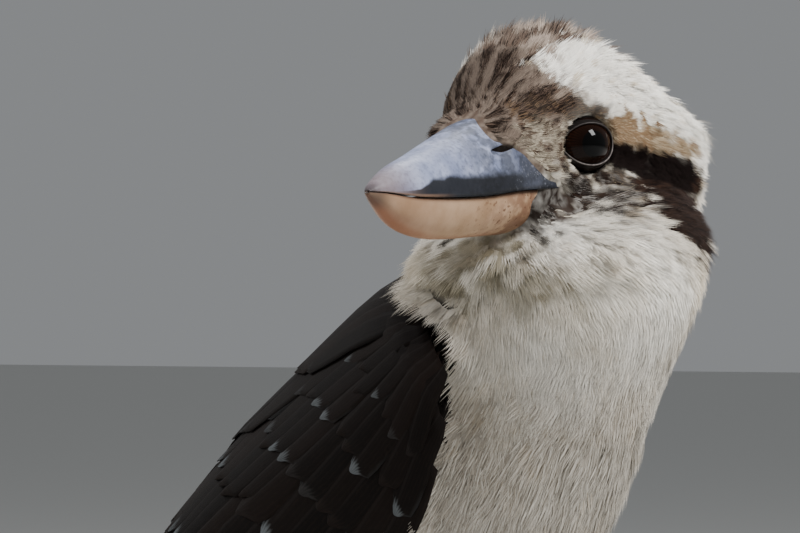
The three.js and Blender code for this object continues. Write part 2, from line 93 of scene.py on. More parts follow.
def rgb(code: int) -> Colour:
    """Linear colour of an 0xRRGGBB code."""
    parts = ((code >> 16) & 255, (code >> 8) & 255, code & 255)
    return tuple(p / 255 / 12.92 if p <= 10 else ((p / 255 + 0.055) / 1.055) ** 2.4 for p in parts)


def smooth(low: float, high: float, value: Array) -> Array:
    """0 below low, 1 above high and a smooth rise between them."""
    t = np.clip((np.asarray(value, float) - low) / (high - low), 0.0, 1.0)
    return t * t * (3 - 2 * t)


def lerp(first: Any, last: Any, t: Any) -> Any:
    """The value that is a share t of the way from first to last."""
    return first + (last - first) * t


def unit(vectors: Array) -> Array:
    """The vectors at length one."""
    return vectors / np.maximum(np.linalg.norm(vectors, axis=-1, keepdims=True), 1e-9)


class Profile:
    """A smooth curve through (x, y) knots, as a function of x."""

    def __init__(self, *knots: tuple[float, float]) -> None:
        """Keeps the knots and their slopes."""
        self.x = np.array([k[0] for k in knots], float)
        self.y = np.array([k[1] for k in knots], float)
        before = np.maximum(np.arange(len(knots)) - 1, 0)
        after = np.minimum(np.arange(len(knots)) + 1, len(knots) - 1)
        self.slope = (self.y[after] - self.y[before]) / (self.x[after] - self.x[before])

    def __call__(self, x: Any) -> Array:
        """The curve's height at x, held level past its ends.

        Args:
            x: one place or an array of them.

        Returns:
            The curve's y at each.
        """
        x = np.asarray(x, float)
        i = np.clip(np.searchsorted(self.x, x, side="left") - 1, 0, len(self.x) - 2)
        span = self.x[i + 1] - self.x[i]
        t = np.clip((x - self.x[i]) / span, 0.0, 1.0)
        leave = t * (1 - t) ** 2 * self.slope[i] * span
        arrive = t * t * (t - 1) * self.slope[i + 1] * span
        return self.y[i] + (self.y[i + 1] - self.y[i]) * t * t * (3 - 2 * t) + leave + arrive


class Ripple:
    """Smooth seeded noise over space, from about -1 to 1."""

    def __init__(self, size: float, seed: int, waves: int = 14) -> None:
        """Draws waves of about the given size in millimetres.

        Args:
            size: about how long a wave is, in millimetres.
            seed: starts the random draw.
            waves: how many waves are summed.
        """
        rng = np.random.default_rng(seed)
        self.direction = unit(rng.normal(size=(waves, 3))) * (2 * math.pi / size)
        self.direction *= rng.uniform(0.6, 1.7, (waves, 1))
        self.phase = rng.uniform(0, 2 * math.pi, waves)
        self.gain = 1.4 / math.sqrt(waves)

    def __call__(self, points: Array) -> Array:
        """The noise at each point."""
        return np.sin(points @ self.direction.T + self.phase).sum(axis=-1) * self.gain


@dataclass(frozen=True)
class Axes:
    """A frame of the bird: an origin and its forward and up directions, in millimetres."""

    origin: tuple[float, float, float]
    forward: tuple[float, float, float]
    up: tuple[float, float, float]

    @property
    def left(self) -> Array:
        """The direction to the left of forward."""
        return np.cross(self.up, self.forward)

    def at(self, f: Any, l: Any, u: Any) -> Array:
        """Points of the frame.

        Args:
            f: how far forward each lies.
            l: how far left.
            u: how far up.

        Returns:
            The points in the row frame, in millimetres.
        """
        f, l, u = (np.asarray(v, float)[..., None] for v in (f, l, u))
        origin, forward, up = (np.array(v) for v in (self.origin, self.forward, self.up))
        return origin + f * forward + l * self.left + u * up

    def turn(self, f: float, l: float, u: float) -> Array:
        """The direction that goes f forward, l left and u up."""
        return self.at(f, l, u) - np.array(self.origin)

    def local(self, points: Array) -> tuple[Array, Array, Array]:
        """How far forward, left and up the points lie."""
        away = points - np.array(self.origin)
        return away @ np.array(self.forward), away @ self.left, away @ np.array(self.up)


# The bird's stance: its own origin lies between its feet, and it faces -Y there.
ORIGIN = np.array([22.59, -53.98, 0.0])
HEAD_AT = (-12.0, -47.5, 202.0)
HEAD_TURN_DEG = 81.0
TRUNK_AT = (0.0, 4.0, 104.7)
BODY_PITCH_DEG = 53.0
WING_AT = (0.0, -35.0, 140.0)
WING_PITCH_DEG = 30.0
TAIL_AT = (0.0, 52.0, 55.0)
TAIL_PITCH_DEG = 14.0
STANCE_HALF = 21.0


def placed(x: float, y: float, z: float) -> tuple[float, float, float]:
    """A point of the bird's own frame in the row frame."""
    return tuple(ORIGIN + np.array([x, y, z]))


def pitched(origin: tuple[float, float, float], pitch_deg: float) -> Axes:
    """Axes whose forward points at the bird's front, raised by the pitch; up leans with it.

    Args:
        origin: the frame's origin in the bird's own frame.
        pitch_deg: how far forward is raised.

    Returns:
        The frame.
    """
    pitch = math.radians(pitch_deg)
    forward = (0.0, -math.cos(pitch), math.sin(pitch))
    return Axes(placed(*origin), forward, (0.0, math.sin(pitch), math.cos(pitch)))


def head_axes() -> Axes:
    """The head's frame, midway between the eyes and turned to the bird's right."""
    turn = math.radians(HEAD_TURN_DEG)
    return Axes(placed(*HEAD_AT), (-math.sin(turn), -math.cos(turn), 0.0), (0.0, 0.0, 1.0))


HEAD = head_axes()
TRUNK = pitched(TRUNK_AT, BODY_PITCH_DEG)
WING = pitched(WING_AT, WING_PITCH_DEG)
TAIL = pitched(TAIL_AT, TAIL_PITCH_DEG)


# Meshes


def make_object(name: str, points: Array, faces: Sequence[Sequence[int]]) -> Piece:
    """A mesh object at the origin.

    Args:
        name: the object's name.
        points: its vertices in millimetres.
        faces: its faces as vertex numbers, counter-clockwise from outside.

    Returns:
        The object, linked to the scene and shaded smooth.
    """
    mesh = bpy.data.meshes.new(name)
    corners = [list(map(int, face)) for face in faces]
    mesh.from_pydata((np.asarray(points, float) * METRES_PER_MM).tolist(), [], corners)
    mesh.shade_smooth()
    mesh.update()
    piece = bpy.data.objects.new(name, mesh)
    bpy.context.scene.collection.objects.link(piece)
    return piece


def points_of(piece: Piece) -> Array:
    """A mesh object's vertices in millimetres.

    Args:
        piece: the mesh object.

    Returns:
        One row for each vertex.
    """
    co = np.zeros(len(piece.data.vertices) * 3, np.float32)
    piece.data.vertices.foreach_get("co", co)
    return co.reshape(-1, 3).astype(float) / METRES_PER_MM


def normals_of(piece: Piece) -> Array:
    """A mesh object's vertex normals.

    Args:
        piece: the mesh object.

    Returns:
        One unit row for each vertex.
    """
    out = np.zeros(len(piece.data.vertices) * 3, np.float32)
    piece.data.vertex_normals.foreach_get("vector", out)
    return out.reshape(-1, 3).astype(float)


def move_points(piece: Piece, points: Array) -> None:
    """Sets a mesh object's vertices, in millimetres."""
    piece.data.vertices.foreach_set("co", (points * METRES_PER_MM).astype(np.float32).ravel())
    piece.data.update()


def store(piece: Piece, name: str, values: Array) -> None:
    """Keeps a value for each vertex as a named attribute.

    Args:
        piece: the mesh object.
        name: the attribute's name.
        values: one number, three numbers or a colour of four for each vertex.
    """
    values = np.asarray(values, np.float32)
    kinds = {1: ("FLOAT", "value"), 3: ("FLOAT_VECTOR", "vector"), 4: ("FLOAT_COLOR", "color")}
    kind, key = kinds[1 if values.ndim == 1 else values.shape[1]]
    attribute = piece.data.attributes.new(name, kind, "POINT")
    attribute.data.foreach_set(key, values.ravel())


def store_colour(piece: Piece, name: str, colours: Array) -> None:
    """Keeps a colour for each vertex as a named attribute."""
    store(piece, name, np.column_stack([colours, np.ones(len(colours))]))


def grid_faces(rows: int, columns: int, closed: bool, start: int = 0) -> list[tuple[int, ...]]:
    """Quads of a grid of points kept row by row, closed round each row or open.

    Args:
        rows: how many rows of points.
        columns: how many points a row has.
        closed: whether a row's last point meets its first.
        start: the number of the grid's first point.

    Returns:
        The quads as vertex numbers.
    """
    across = columns if closed else columns - 1
    return [
        (start + r * columns + c, start + r * columns + (c + 1) % columns,
         start + (r + 1) * columns + (c + 1) % columns, start + (r + 1) * columns + c)
        for r in range(rows - 1)
        for c in range(across)
    ]


def loft(name: str, rings: Array) -> Piece:
    """A closed body through rings of points, with its ends closed by fans.

    Args:
        name: the object's name.
        rings: an array of rings, each an array of points in millimetres.

    Returns:
        The object, with its faces turned outwards.
    """
    rows, columns, _ = rings.shape
    points = np.vstack([rings.reshape(-1, 3), rings[0].mean(axis=0), rings[-1].mean(axis=0)])
    faces: list[Sequence[int]] = list(grid_faces(rows, columns, True))
    first, last = rows * columns, rows * columns + 1
    faces += [(first, (c + 1) % columns, c) for c in range(columns)]
    top = (rows - 1) * columns
    faces += [(last, top + c, top + (c + 1) % columns) for c in range(columns)]
    across = rings[0] - rings[0].mean(axis=0)
    turning = np.cross(across, np.roll(across, -1, axis=0)).sum(axis=0)
    if turning @ (rings[1].mean(axis=0) - rings[0].mean(axis=0)) < 0:
        faces = [tuple(reversed(f)) for f in faces]
    return make_object(name, points, faces)


def join(name: str, pieces: Sequence[Piece]) -> Piece:
    """One object of several, which are used up.

    Args:
        name: the joined object's name.
        pieces: the mesh objects.

    Returns:
        The joined object.
    """
    bpy.ops.object.select_all(action="DESELECT")
    for piece in pieces:
        piece.select_set(True)
    bpy.context.view_layer.objects.active = pieces[0]
    if len(pieces) > 1:
        bpy.ops.object.join()
    joined = bpy.context.view_layer.objects.active
    joined.name = name
    joined.data.name = name
    return joined


def settle(piece: Piece) -> None:
    """Turns a piece's modifiers into plain mesh.

    Args:
        piece: the mesh object.
    """
    graph = bpy.context.evaluated_depsgraph_get()
    shaped = piece.evaluated_get(graph)
    mesh = bpy.data.meshes.new_from_object(shaped, preserve_all_data_layers=True, depsgraph=graph)
    piece.modifiers.clear()
    old = piece.data
    piece.data = mesh
    mesh.name = piece.name
    bpy.data.meshes.remove(old)


def finish_piece(piece: Piece, slot: Slot, nodes: Sequence[str] = ()) -> None:
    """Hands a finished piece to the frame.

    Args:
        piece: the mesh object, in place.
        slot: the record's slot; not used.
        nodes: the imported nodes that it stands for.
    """
    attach(piece, BODY)
    if nodes:
        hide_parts(*nodes)
    LOG.info("%s: %d faces", piece.name, len(piece.data.polygons))


# Shader expressions


class Value:
    """A shader socket that adds its own nodes when it is used in an expression."""

    def __init__(self, shader: "Shader", socket: bpy.types.NodeSocket) -> None:
        """Keeps the shader and the socket."""
        self.shader = shader
        self.socket = socket

    def _math(self, operation: str, *terms: Any) -> "Value":
        """A Math node over the terms."""
        return self.shader.node("ShaderNodeMath", {"operation": operation}, dict(enumerate(terms)))

    def __add__(self, other: Any) -> "Value":
        """self + other."""
        return self._math("ADD", self, other)

    def __radd__(self, other: Any) -> "Value":
        """other + self."""
        return self._math("ADD", other, self)

    def __sub__(self, other: Any) -> "Value":
        """self - other."""
        return self._math("SUBTRACT", self, other)

    def __rsub__(self, other: Any) -> "Value":
        """other - self."""
        return self._math("SUBTRACT", other, self)

    def __mul__(self, other: Any) -> "Value":
        """self * other."""
        return self._math("MULTIPLY", self, other)

    def __rmul__(self, other: Any) -> "Value":
        """other * self."""
        return self._math("MULTIPLY", other, self)

    def __abs__(self) -> "Value":
        """The size without its sign."""
        return self._math("ABSOLUTE", self)

    def sine(self) -> "Value":
        """The sine of the value in radians."""
        return self._math("SINE", self)

    def wave(self) -> "Value":
        """The sine of the value, from 0 to 1."""
        return self.sine() * 0.5 + 0.5

    def rise(self, low: float, high: float) -> "Value":
        """0 at low, 1 at high, smooth between and level past them."""
        inputs = {"Value": self, "From Min": low, "From Max": high}
        return self.shader.node("ShaderNodeMapRange", {"interpolation_type": "SMOOTHSTEP"}, inputs)


class Shader:
    """One node material, written as expressions."""

    def __init__(self, name: str) -> None:
        """Starts an empty material.

        Args:
            name: the material's name.
        """
        self.material = bpy.data.materials.new(name)
        self.material.use_nodes = True
        self.tree = self.material.node_tree
        self.tree.nodes.clear()

    def node(self, kind: str, settings: dict[str, Any] | None = None,
             inputs: dict[Any, Any] | None = None, output: Any = 0) -> Value:
        """Adds a node.

        Args:
            kind: the node's type name.
            settings: its properties, set first; a ramp's stops are under "stops".
            inputs: values or links by socket name, identifier or number.
            output: which of its outputs is wanted.

        Returns:
            The chosen output as a Value.
        """
        made = self.tree.nodes.new(kind)
        for key, value in (settings or {}).items():
            if key == "stops":
                self._set_stops(made.color_ramp, value)
            else:
                setattr(made, key, value)
        for key, value in (inputs or {}).items():
            socket = self._find(made.inputs, key)
            if isinstance(value, Value):
                self.tree.links.new(value.socket, socket)
            elif isinstance(value, tuple) and len(value) == 3 and len(socket.default_value) == 4:
                socket.default_value = (*value, 1.0)
            else:
                socket.default_value = value
        return Value(self, self._find(made.outputs, output))

    @staticmethod
    def _find(sockets: Any, key: Any) -> bpy.types.NodeSocket:
        """A socket by number, identifier or name.

        Args:
            sockets: a node's inputs or outputs.
            key: the number, identifier or name.

        Returns:
            The socket.
        """
        if isinstance(key, int):
            return sockets[key]
        return next((s for s in sockets if s.identifier == key), None) or sockets[key]

    @staticmethod
    def _set_stops(ramp: bpy.types.ColorRamp, stops: Sequence[tuple[float, Colour]]) -> None:
        """Gives a colour ramp its stops.

        Args:
            ramp: the colour ramp.
            stops: the place and colour of each stop.
        """
        while len(ramp.elements) < len(stops):
            ramp.elements.new(1.0)
        for element, (place, colour) in zip(ramp.elements, stops):
            element.position = place
            element.color = (*colour, 1.0)

    def attribute(self, name: str, output: str = "Fac") -> Value:
        """A named attribute of the mesh."""
        return self.node("ShaderNodeAttribute", {"attribute_name": name}, output=output)

    def parts(self, vector: Value) -> tuple[Value, Value, Value]:
        """The three numbers of a vector.

        Args:
            vector: the vector.

        Returns:
            Its numbers, in order.
        """
        made = self.node("ShaderNodeSeparateXYZ", inputs={0: vector})
        outputs = made.socket.node.outputs
        return tuple(Value(self, outputs[i]) for i in range(3))

    def place(self) -> Value:
        """The object coordinates, in metres."""
        return self.node("ShaderNodeTexCoord", output="Object")

    def mix(self, factor: Any, first: Any, last: Any, blend: str = "MIX") -> Value:
        """Two colours mixed by a factor.

        Args:
            factor: how much of the last colour shows.
            first: the colour at 0.
            last: the colour at 1.
            blend: how they are blended.

        Returns:
            The mixed colour.
        """
        settings = {"data_type": "RGBA", "blend_type": blend}
        inputs = {"Factor_Float": factor, "A_Color": first, "B_Color": last}
        return self.node("ShaderNodeMix", settings, inputs, "Result_Color")

    def grey(self, value: Value) -> Value:
        """A grey of the given lightness."""
        return self.node("ShaderNodeCombineColor", None, {0: value, 1: value, 2: value}, "Color")

    def noise(self, size_mm: float, detail: float = 3.0, vector: Value | None = None) -> Value:
        """Noise whose spots are about the given size, from 0 to 1.

        Args:
            size_mm: about how wide a spot is.
            detail: how fine its edges are.
            vector: where it is taken, or None for the object's own place.

        Returns:
            The noise.
        """
        inputs: dict[Any, Any] = {"Scale": 1000 / size_mm, "Detail": detail}
        inputs["Vector"] = vector or self.place()
        return self.node("ShaderNodeTexNoise", None, inputs, "Fac")

    def bump(self, height: Value, depth_mm: float, strength: float = 1.0) -> Value:
        """A bumped normal from a height of 0 to 1."""
        inputs = {"Height": height, "Distance": depth_mm * METRES_PER_MM, "Strength": strength}
        return self.node("ShaderNodeBump", None, inputs, "Normal")

    def surface(self, **sockets: Any) -> Material:
        """Closes the material with a Principled shader.

        Args:
            sockets: its sockets' values or links, with _ for each space in a name.

        Returns:
            The finished material.
        """
        inputs = {name.replace("_", " "): value for name, value in sockets.items()}
        shaded = self.node("ShaderNodeBsdfPrincipled", None, inputs, "BSDF")
        self.node_output(shaded)
        return self.material

    def node_output(self, shaded: Value) -> None:
        """Links the surface to the material's output."""
        made = self.tree.nodes.new("ShaderNodeOutputMaterial")
        self.tree.links.new(shaded.socket, made.inputs["Surface"])


# The bird's own shapes


def oval(count: int, half: Array, top: Array, bottom: Array, power: float) -> tuple[Array, Array]:
    """Rings of a rounded shape.

    Args:
        count: points round each ring.
        half: half the width of each ring.
        top: its reach above the middle.
        bottom: its reach below the middle.
        power: 2 for an ellipse, more for a squarer ring.

    Returns:
        How far left and how far up each point of each ring lies.
    """
    angle = 2 * math.pi * np.arange(count) / count
    across = np.sign(np.sin(angle)) * np.abs(np.sin(angle)) ** (2 / power)
    rise = np.sign(np.cos(angle)) * np.abs(np.cos(angle)) ** (2 / power)
    reach = np.where(rise > 0, np.asarray(top)[..., None], np.asarray(bottom)[..., None])
    return np.asarray(half)[..., None] * across, reach * rise


def circle(count: int) -> Array:
    """Angles round a full turn."""
    return np.linspace(0, 2 * math.pi, count, endpoint=False)


def stack_rings(name: str, axes: Axes, places: Array, left: Array, up: Array) -> Piece:
    """A closed body of rings that stand along a frame's forward line.

    Args:
        name: the piece's name.
        axes: the frame.
        places: how far forward each ring stands.
        left: how far left each point of each ring lies.
        up: how far up each lies.

    Returns:
        The body as a mesh object.
    """
    return loft(name, axes.at(np.broadcast_to(places[:, None], left.shape), left, up))


def level_rings(name: str, heights: Array, x: Array, y: Array) -> Piece:
    """A closed body of level rings in the bird's own frame.

    Args:
        name: the piece's name.
        heights: how high each ring lies.
        x: how far left each point of each ring lies.
        y: how far back each lies.

    Returns:
        The body as a mesh object.
    """
    z = np.broadcast_to(heights[:, None], x.shape)
    return loft(name, np.stack([x, y, z], axis=-1) + ORIGIN)


@dataclass(frozen=True)
class WingForm:
    """The folded wing as a sheet: a is back along it, turn is degrees down from the back's top."""

    core_start: float = -16.0
    core_end: float = 118.0
    core_rows: int = 44
    core_columns: int = 19
    rim_rise: float = 2.6
    rim_least: float = 0.12
    rim_drop: float = 2.2
    rim_depth_share: float = 0.45
    half: Profile = Profile((-22, 37.5), (0, 40), (30, 41.5), (67, 41), (90, 38), (110, 33.5), (130, 28.5),
                            (150, 23.5), (165, 20), (180, 17))
    top: Profile = Profile((-22, 33), (10, 34), (36, 30.5), (67, 25.5), (90, 20), (106, 16), (127, 12.5),
                           (150, 9.5), (180, 8))
    bottom: Profile = Profile((-22, 34), (0, 40), (30, 46), (60, 47), (90, 38), (120, 24), (150, 12),
                              (180, 7))
    upper_edge: Profile = Profile((-16, 66), (-8, 44), (8, 26), (30, 16), (60, 12), (120, 18), (155, 34),
                                  (180, 58))
    lower_edge: Profile = Profile((-16, 79), (-8, 97), (0, 109), (10, 120), (25, 134), (60, 142),
                                  (100, 128), (150, 102), (180, 86))
    inner: Profile = Profile((-16, -7), (60, -9), (110, -5), (150, -2), (180, -1.2))

    def point(self, side: Side, a: Any, turn_deg: Any, lift: Any) -> Array:
        """Points of the wing's surface, raised by lift.

        Args:
            side: which wing.
            a: how far back along the wing.
            turn_deg: degrees down from the back's top.
            lift: how far over the surface.

        Returns:
            The points in the row frame.
        """
        turn = np.radians(turn_deg)
        across = (self.half(a) + lift) * np.sin(turn)
        reach = np.where(np.asarray(turn_deg) < 90, self.top(a), self.bottom(a))
        return WING.at(-np.asarray(a, float), side.value * across, (reach + lift) * np.cos(turn))

    def degrees_per_mm(self, a: Any) -> Array:
        """How much turn makes one millimetre across the wing at a."""
        return 360 / (math.pi * (self.half(a) + self.top(a)))

    def slab(self, side: Side) -> Piece:
        """The wing's flesh, without its feathers.

        Args:
            side: which wing.

        Returns:
            The flesh as a closed body.
        """
        share = np.linspace(0, 1, self.core_columns)
        rim = np.minimum(1.0, self.rim_rise * np.minimum(share, 1 - share) + self.rim_least)
        rings = []
        for a in np.linspace(self.core_start, self.core_end, self.core_rows):
            turns = lerp(float(self.upper_edge(a)), float(self.lower_edge(a)), share)
            place = np.full(share.shape, a)
            outer = self.point(side, place, turns, -self.rim_drop * (1 - rim))
            depth = float(self.inner(a)) * np.where((share > 0) & (share < 1), 1.0, self.rim_depth_share)
            inner = self.point(side, place, turns, depth)
            rings.append(np.vstack([outer, inner[::-1]]))
        return loft(f"wing_core_{side.label}", np.array(rings))


@dataclass(frozen=True)
class HeadForm:
    """The head, by distance forward of the eyes."""

    half: Profile = Profile((-53, 9), (-50, 21.5), (-44, 28.5), (-34, 30), (-22, 27.5), (-10, 23.5),
                            (0, 20.2), (8, 17.4), (15, 15), (21, 12), (25, 7))
    top: Profile = Profile((-53, 4), (-50, 7), (-44, 12), (-34, 19), (-22, 26), (-10, 29.6), (0, 29),
                           (8, 26), (15, 21.5), (21, 15), (25, 9))
    bottom: Profile = Profile((-53, 14), (-50, 26), (-44, 36), (-34, 38), (-22, 36), (-10, 31), (0, 27.5),
                              (8, 25.5), (15, 23.5), (21, 19), (25, 9))
    middle: float = 2.0
    power: float = 2.35
    around: int = 64
    runs: tuple[tuple[float, float, int], ...] = ((-53, -44, 14), (-42.5, 18, 42), (18.6, 25, 12))

    def body(self) -> Piece:
        """The head as a closed body.

        Returns:
            The mesh object.
        """
        f = np.concatenate([np.linspace(*run) for run in self.runs])
        top, bottom = self.top(f) - self.middle, self.bottom(f) + self.middle
        left, rise = oval(self.around, self.half(f), top, bottom, self.power)
        return stack_rings("head_core", HEAD, f, left, self.middle + rise)


@dataclass(frozen=True)
class NeckForm:
    """The neck as level rings by height."""

    x: Profile = Profile((128, 0), (163, 0), (176, 2), (185, 7), (200, 15))
    y: Profile = Profile((128, -22), (150.5, -36), (163, -46.5), (176, -49.5), (200, -47.5))
    across: Profile = Profile((128, 20), (140, 33), (150.5, 37), (163, 35.5), (176, 34.5), (185, 30),
                              (193, 22), (200, 10))
    deep: Profile = Profile((128, 26), (140, 42), (150.5, 46), (163, 41), (176, 38), (185, 32.5), (193, 25),
                            (200, 13))
    run: tuple[float, float, int] = (128, 200, 56)
    around: int = 64
    power: float = 2.1

    def body(self) -> Piece:
        """The neck as a closed body.

        Returns:
            The mesh object.
        """
        z = np.linspace(*self.run)
        left, along = oval(self.around, self.across(z), self.deep(z), self.deep(z), self.power)
        return level_rings("neck_core", z, self.x(z)[:, None] + left, self.y(z)[:, None] + along)


@dataclass(frozen=True)
class TrunkForm:
    """The trunk up its own line, the rump and the thighs."""

    half: Profile = Profile((-76, 8), (-70, 14), (-58, 25), (-45, 32.5), (-25, 37.5), (0, 38.5), (25, 37.5),
                            (45, 36), (62, 31), (72, 25), (82, 15))
    top: Profile = Profile((-76, 9), (-70, 16), (-58, 27), (-45, 35), (-25, 38.5), (0, 39.5), (25, 37.5),
                           (45, 33.5), (62, 25), (72, 15), (82, 8))
    bottom: Profile = Profile((-76, 4), (-70, 10), (-58, 22), (-45, 34), (-25, 45), (0, 50.5), (25, 51),
                              (45, 51), (62, 47), (72, 42.5), (82, 34))
    rump_half: Profile = Profile((-34, 22), (-10, 20), (10, 16), (28, 12), (46, 7))
    rump_top: Profile = Profile((-34, 22), (-10, 16), (10, 10), (28, 6.5), (46, 3.6))
    rump_bottom: Profile = Profile((-34, 24), (-10, 19), (10, 12), (28, 7.5), (46, 3.8))
    thigh_half: Profile = Profile((29, 5.6), (38, 10), (52, 15), (78, 16))
    thigh_y: Profile = Profile((29, 4.5), (45, 2.5), (78, 6))
    run: tuple[float, float, int] = (-76, 82, 80)
    around: int = 80
    power: float = 2.15
    rump_run: tuple[float, float, int] = (-34, 46, 40)
    rump_around: int = 48
    thigh_run: tuple[float, float, int] = (30, 78, 30)
    thigh_around: int = 40
    thigh_depth_share: float = 1.3
    thigh_inset: float = 1.0

    def trunk(self) -> Piece:
        """The trunk as a closed body.

        Returns:
            The mesh object.
        """
        f = np.linspace(*self.run)
        left, rise = oval(self.around, self.half(f), self.top(f), self.bottom(f), self.power)
        return stack_rings("trunk_core", TRUNK, f, left, rise)

    def rump(self) -> Piece:
        """The flesh round the tail's root.

        Returns:
            The mesh object.
        """
        a = np.linspace(*self.rump_run)
        left, rise = oval(self.rump_around, self.rump_half(a), self.rump_top(a), self.rump_bottom(a), 2.0)
        return stack_rings("rump_core", TAIL, -a, left, rise)

    def thigh(self, side: Side) -> Piece:
        """One feathered thigh.

        Args:
            side: which thigh.

        Returns:
            The thigh as a closed body.
        """
        z = np.linspace(*self.thigh_run)
        half = self.thigh_half(z)
        deep = half * self.thigh_depth_share
        left, along = oval(self.thigh_around, half, deep, deep, 2.0)
        x = side.value * (STANCE_HALF - self.thigh_inset + left)
        return level_rings(f"thigh_core_{side.label}", z, x, self.thigh_y(z)[:, None] + along)


@dataclass(frozen=True)
class BillForm:
    """The bill by distance forward of the eyes: ridge, cutting edge, underside and half width."""

    back: float = 2.0
    tip: float = 80.0
    ridge: Profile = Profile((2, 12.5), (24.3, 7), (42.9, 1.4), (57.8, -3.2), (68, -6.1), (76.5, -9.9),
                             (80, -12))
    edge: Profile = Profile((2, -11), (23, -11.8), (40.6, -13.4), (63.4, -13.8), (75.8, -12.7), (80, -12.5))
    under: Profile = Profile((2, -22.6), (21.7, -23), (47.5, -24), (60, -22.7), (68, -20.2), (74, -16.8),
                             (80, -13.2))
    half: Profile = Profile((2, 15.2), (23, 13), (40.6, 10.9), (63.4, 6.6), (72, 4.2), (77, 2.4), (80, 0.8))
    lower_share: float = 0.92
    arch: float = 0.9

    def covers(self, f: Array, l: Array, u: Array, margin: float) -> Array:
        """Which points of the head's frame lie inside the bill, or nearer to it than margin.

        Args:
            f: how far forward each point lies in the head's frame.
            l: how far left.
            u: how far up.
            margin: how near counts as inside.

        Returns:
            True for each point inside.
        """
        half = self.half(f) + margin
        cosine = np.clip(np.abs(l) / half, 0, 1) ** (1 / self.arch)
        bow = np.sqrt(1 - cosine**2) ** self.arch
        edge = self.edge(f)
        above = edge + (self.ridge(f) - edge) * bow + margin
        below = edge - (edge - self.under(f)) * bow - margin
        return (f > self.back) & (np.abs(l) < half) & (u < above) & (u > below)


@dataclass(frozen=True)
class BridleForm:
    """The feathered skin that runs over the bill's root, as far as the nostrils and the gape."""

    line: Profile = Profile((-30, 9), (-24, 12), (-21.6, 14), (-18.5, 17), (-14.3, 18.8), (-12.5, 16),
                            (-11.2, 9), (-9.4, 8), (-8.2, 14.3), (-5.8, 18.1), (-2.8, 23.3), (-1.6, 28.6),
                            (-0.4, 32.6), (3.9, 32.1), (7.5, 25), (14, 22))
    run: tuple[float, float, int] = (3, 38, 60)
    half_around: int = 45
    ahead: float = 1.5
    slope: float = 0.6
    least: float = -2.0
    most: float = 2.4

    def body(self) -> Piece:
        """The bill's own root, thickened behind the line where the feathers end.

        Returns:
            The mesh object.
        """
        angle = np.linspace(0, math.pi, self.half_around)
        bow, rise = np.cos(angle), np.sin(angle)
        rings = []
        for at in np.linspace(*self.run):
            edge, half = float(BILL_FORM.edge(at)), float(BILL_FORM.half(at))
            top, low = float(BILL_FORM.ridge(at)) - edge, edge - float(BILL_FORM.under(at))
            left = half * np.sign(bow) * np.abs(bow) ** BILL_FORM.arch
            curve = rise**BILL_FORM.arch
            up = np.concatenate([edge + top * curve, (edge - low * curve)[::-1]])
            left = np.concatenate([left, left[::-1] * BILL_FORM.lower_share])
            grow = np.clip((self.line(up) - at + self.ahead) * self.slope, self.least, self.most)
            away = unit(np.stack([left, up - edge], axis=-1))
            rings.append(HEAD.at(np.full(left.shape, at), left + away[:, 0] * grow, up + away[:, 1] * grow))
        return loft("bridle_core", np.array(rings))


@dataclass(frozen=True)
class EyeForm:
    """Where each eye sits and how wide its lids stand open."""

    side: float = 18.5
    radius: float = 8.0
    sink: float = 4.6
    facing_deg: float = 58.0
    half_width: float = 6.9
    half_height: float = 5.1

    def axes(self, side: Side) -> Axes:
        """The eye's frame: forward looks out of the eye and the origin is its rim's middle.

        Args:
            side: which eye.

        Returns:
            The frame.
        """
        turn = math.radians(self.facing_deg)
        out = HEAD.turn(math.cos(turn), side.value * math.sin(turn), 0.0)
        return Axes(tuple(self.middle(side)), tuple(out), (0.0, 0.0, 1.0))

    def middle(self, side: Side) -> Array:
        """The middle of the eye's rim."""
        return HEAD.at(0.0, side.value * self.side, 0.0)


WING_FORM = WingForm()
BILL_FORM = BillForm()
BRIDLE_FORM = BridleForm()
EYE_FORM = EyeForm()


# Markings


class Shade(Enum):
    """The plumage's colours."""

    WHITE = rgb(0xEFEBE2)
    CREAM = rgb(0xCFC2AC)
    WARM = rgb(0xB7A488)
    BUFF = rgb(0x7D644B)
    GREY = rgb(0x9C9791)
    CROWN_PALE = rgb(0xAB9B8D)
    CROWN = rgb(0x5F4C40)
    CROWN_DARK = rgb(0x1E1612)
    MASK = rgb(0x150E0C)
    MASK_PALE = rgb(0x33241C)
    BACK = rgb(0x0B0807)
    BACK_PALE = rgb(0x1E1511)
    RUFOUS = rgb(0x5C3B24)
    BAR = rgb(0x140D0A)
    FROST = rgb(0x666B6E)
    # Painted shade: a dark olive-grey for the shadow and green reflected light under the bill, not the
    # throat's own white.
    OLIVE = rgb(0x746A4E)

    @property
    def linear(self) -> Array:
        """The colour as an array."""
        return np.array(self.value)


@dataclass(frozen=True)
class Stroke:
    """A marking painted along a path in the head's frame, alike on both sides.

    Each knot is forward, left, up and radius; edge is how softly it ends.
    """

    knots: tuple[tuple[float, float, float, float], ...]
    edge: float = 2.0

    def cover(self, f: Array, l: Array, u: Array, wander: Array) -> Array:
        """How fully the stroke covers each point, from 0 to 1; wander shifts its edge.

        Args:
            f: how far forward each point lies in the head's frame.
            l: how far left.
            u: how far up.
            wander: how far the edge is shifted there.

        Returns:
            A share from 0 to 1 for each point.
        """
        points = np.stack([f, np.abs(l), u], axis=-1)
        best = np.full(len(points), np.inf)
        knots = np.array(self.knots)
        for first, last in zip(knots[:-1], knots[1:]):
            span = last[:3] - first[:3]
            t = np.clip(((points - first[:3]) @ span) / (span @ span), 0, 1)
            away = np.linalg.norm(points - (first[:3] + t[:, None] * span), axis=1)
            best = np.minimum(best, away - lerp(first[3], last[3], t))
        return 1 - smooth(-self.edge, self.edge, best + wander)


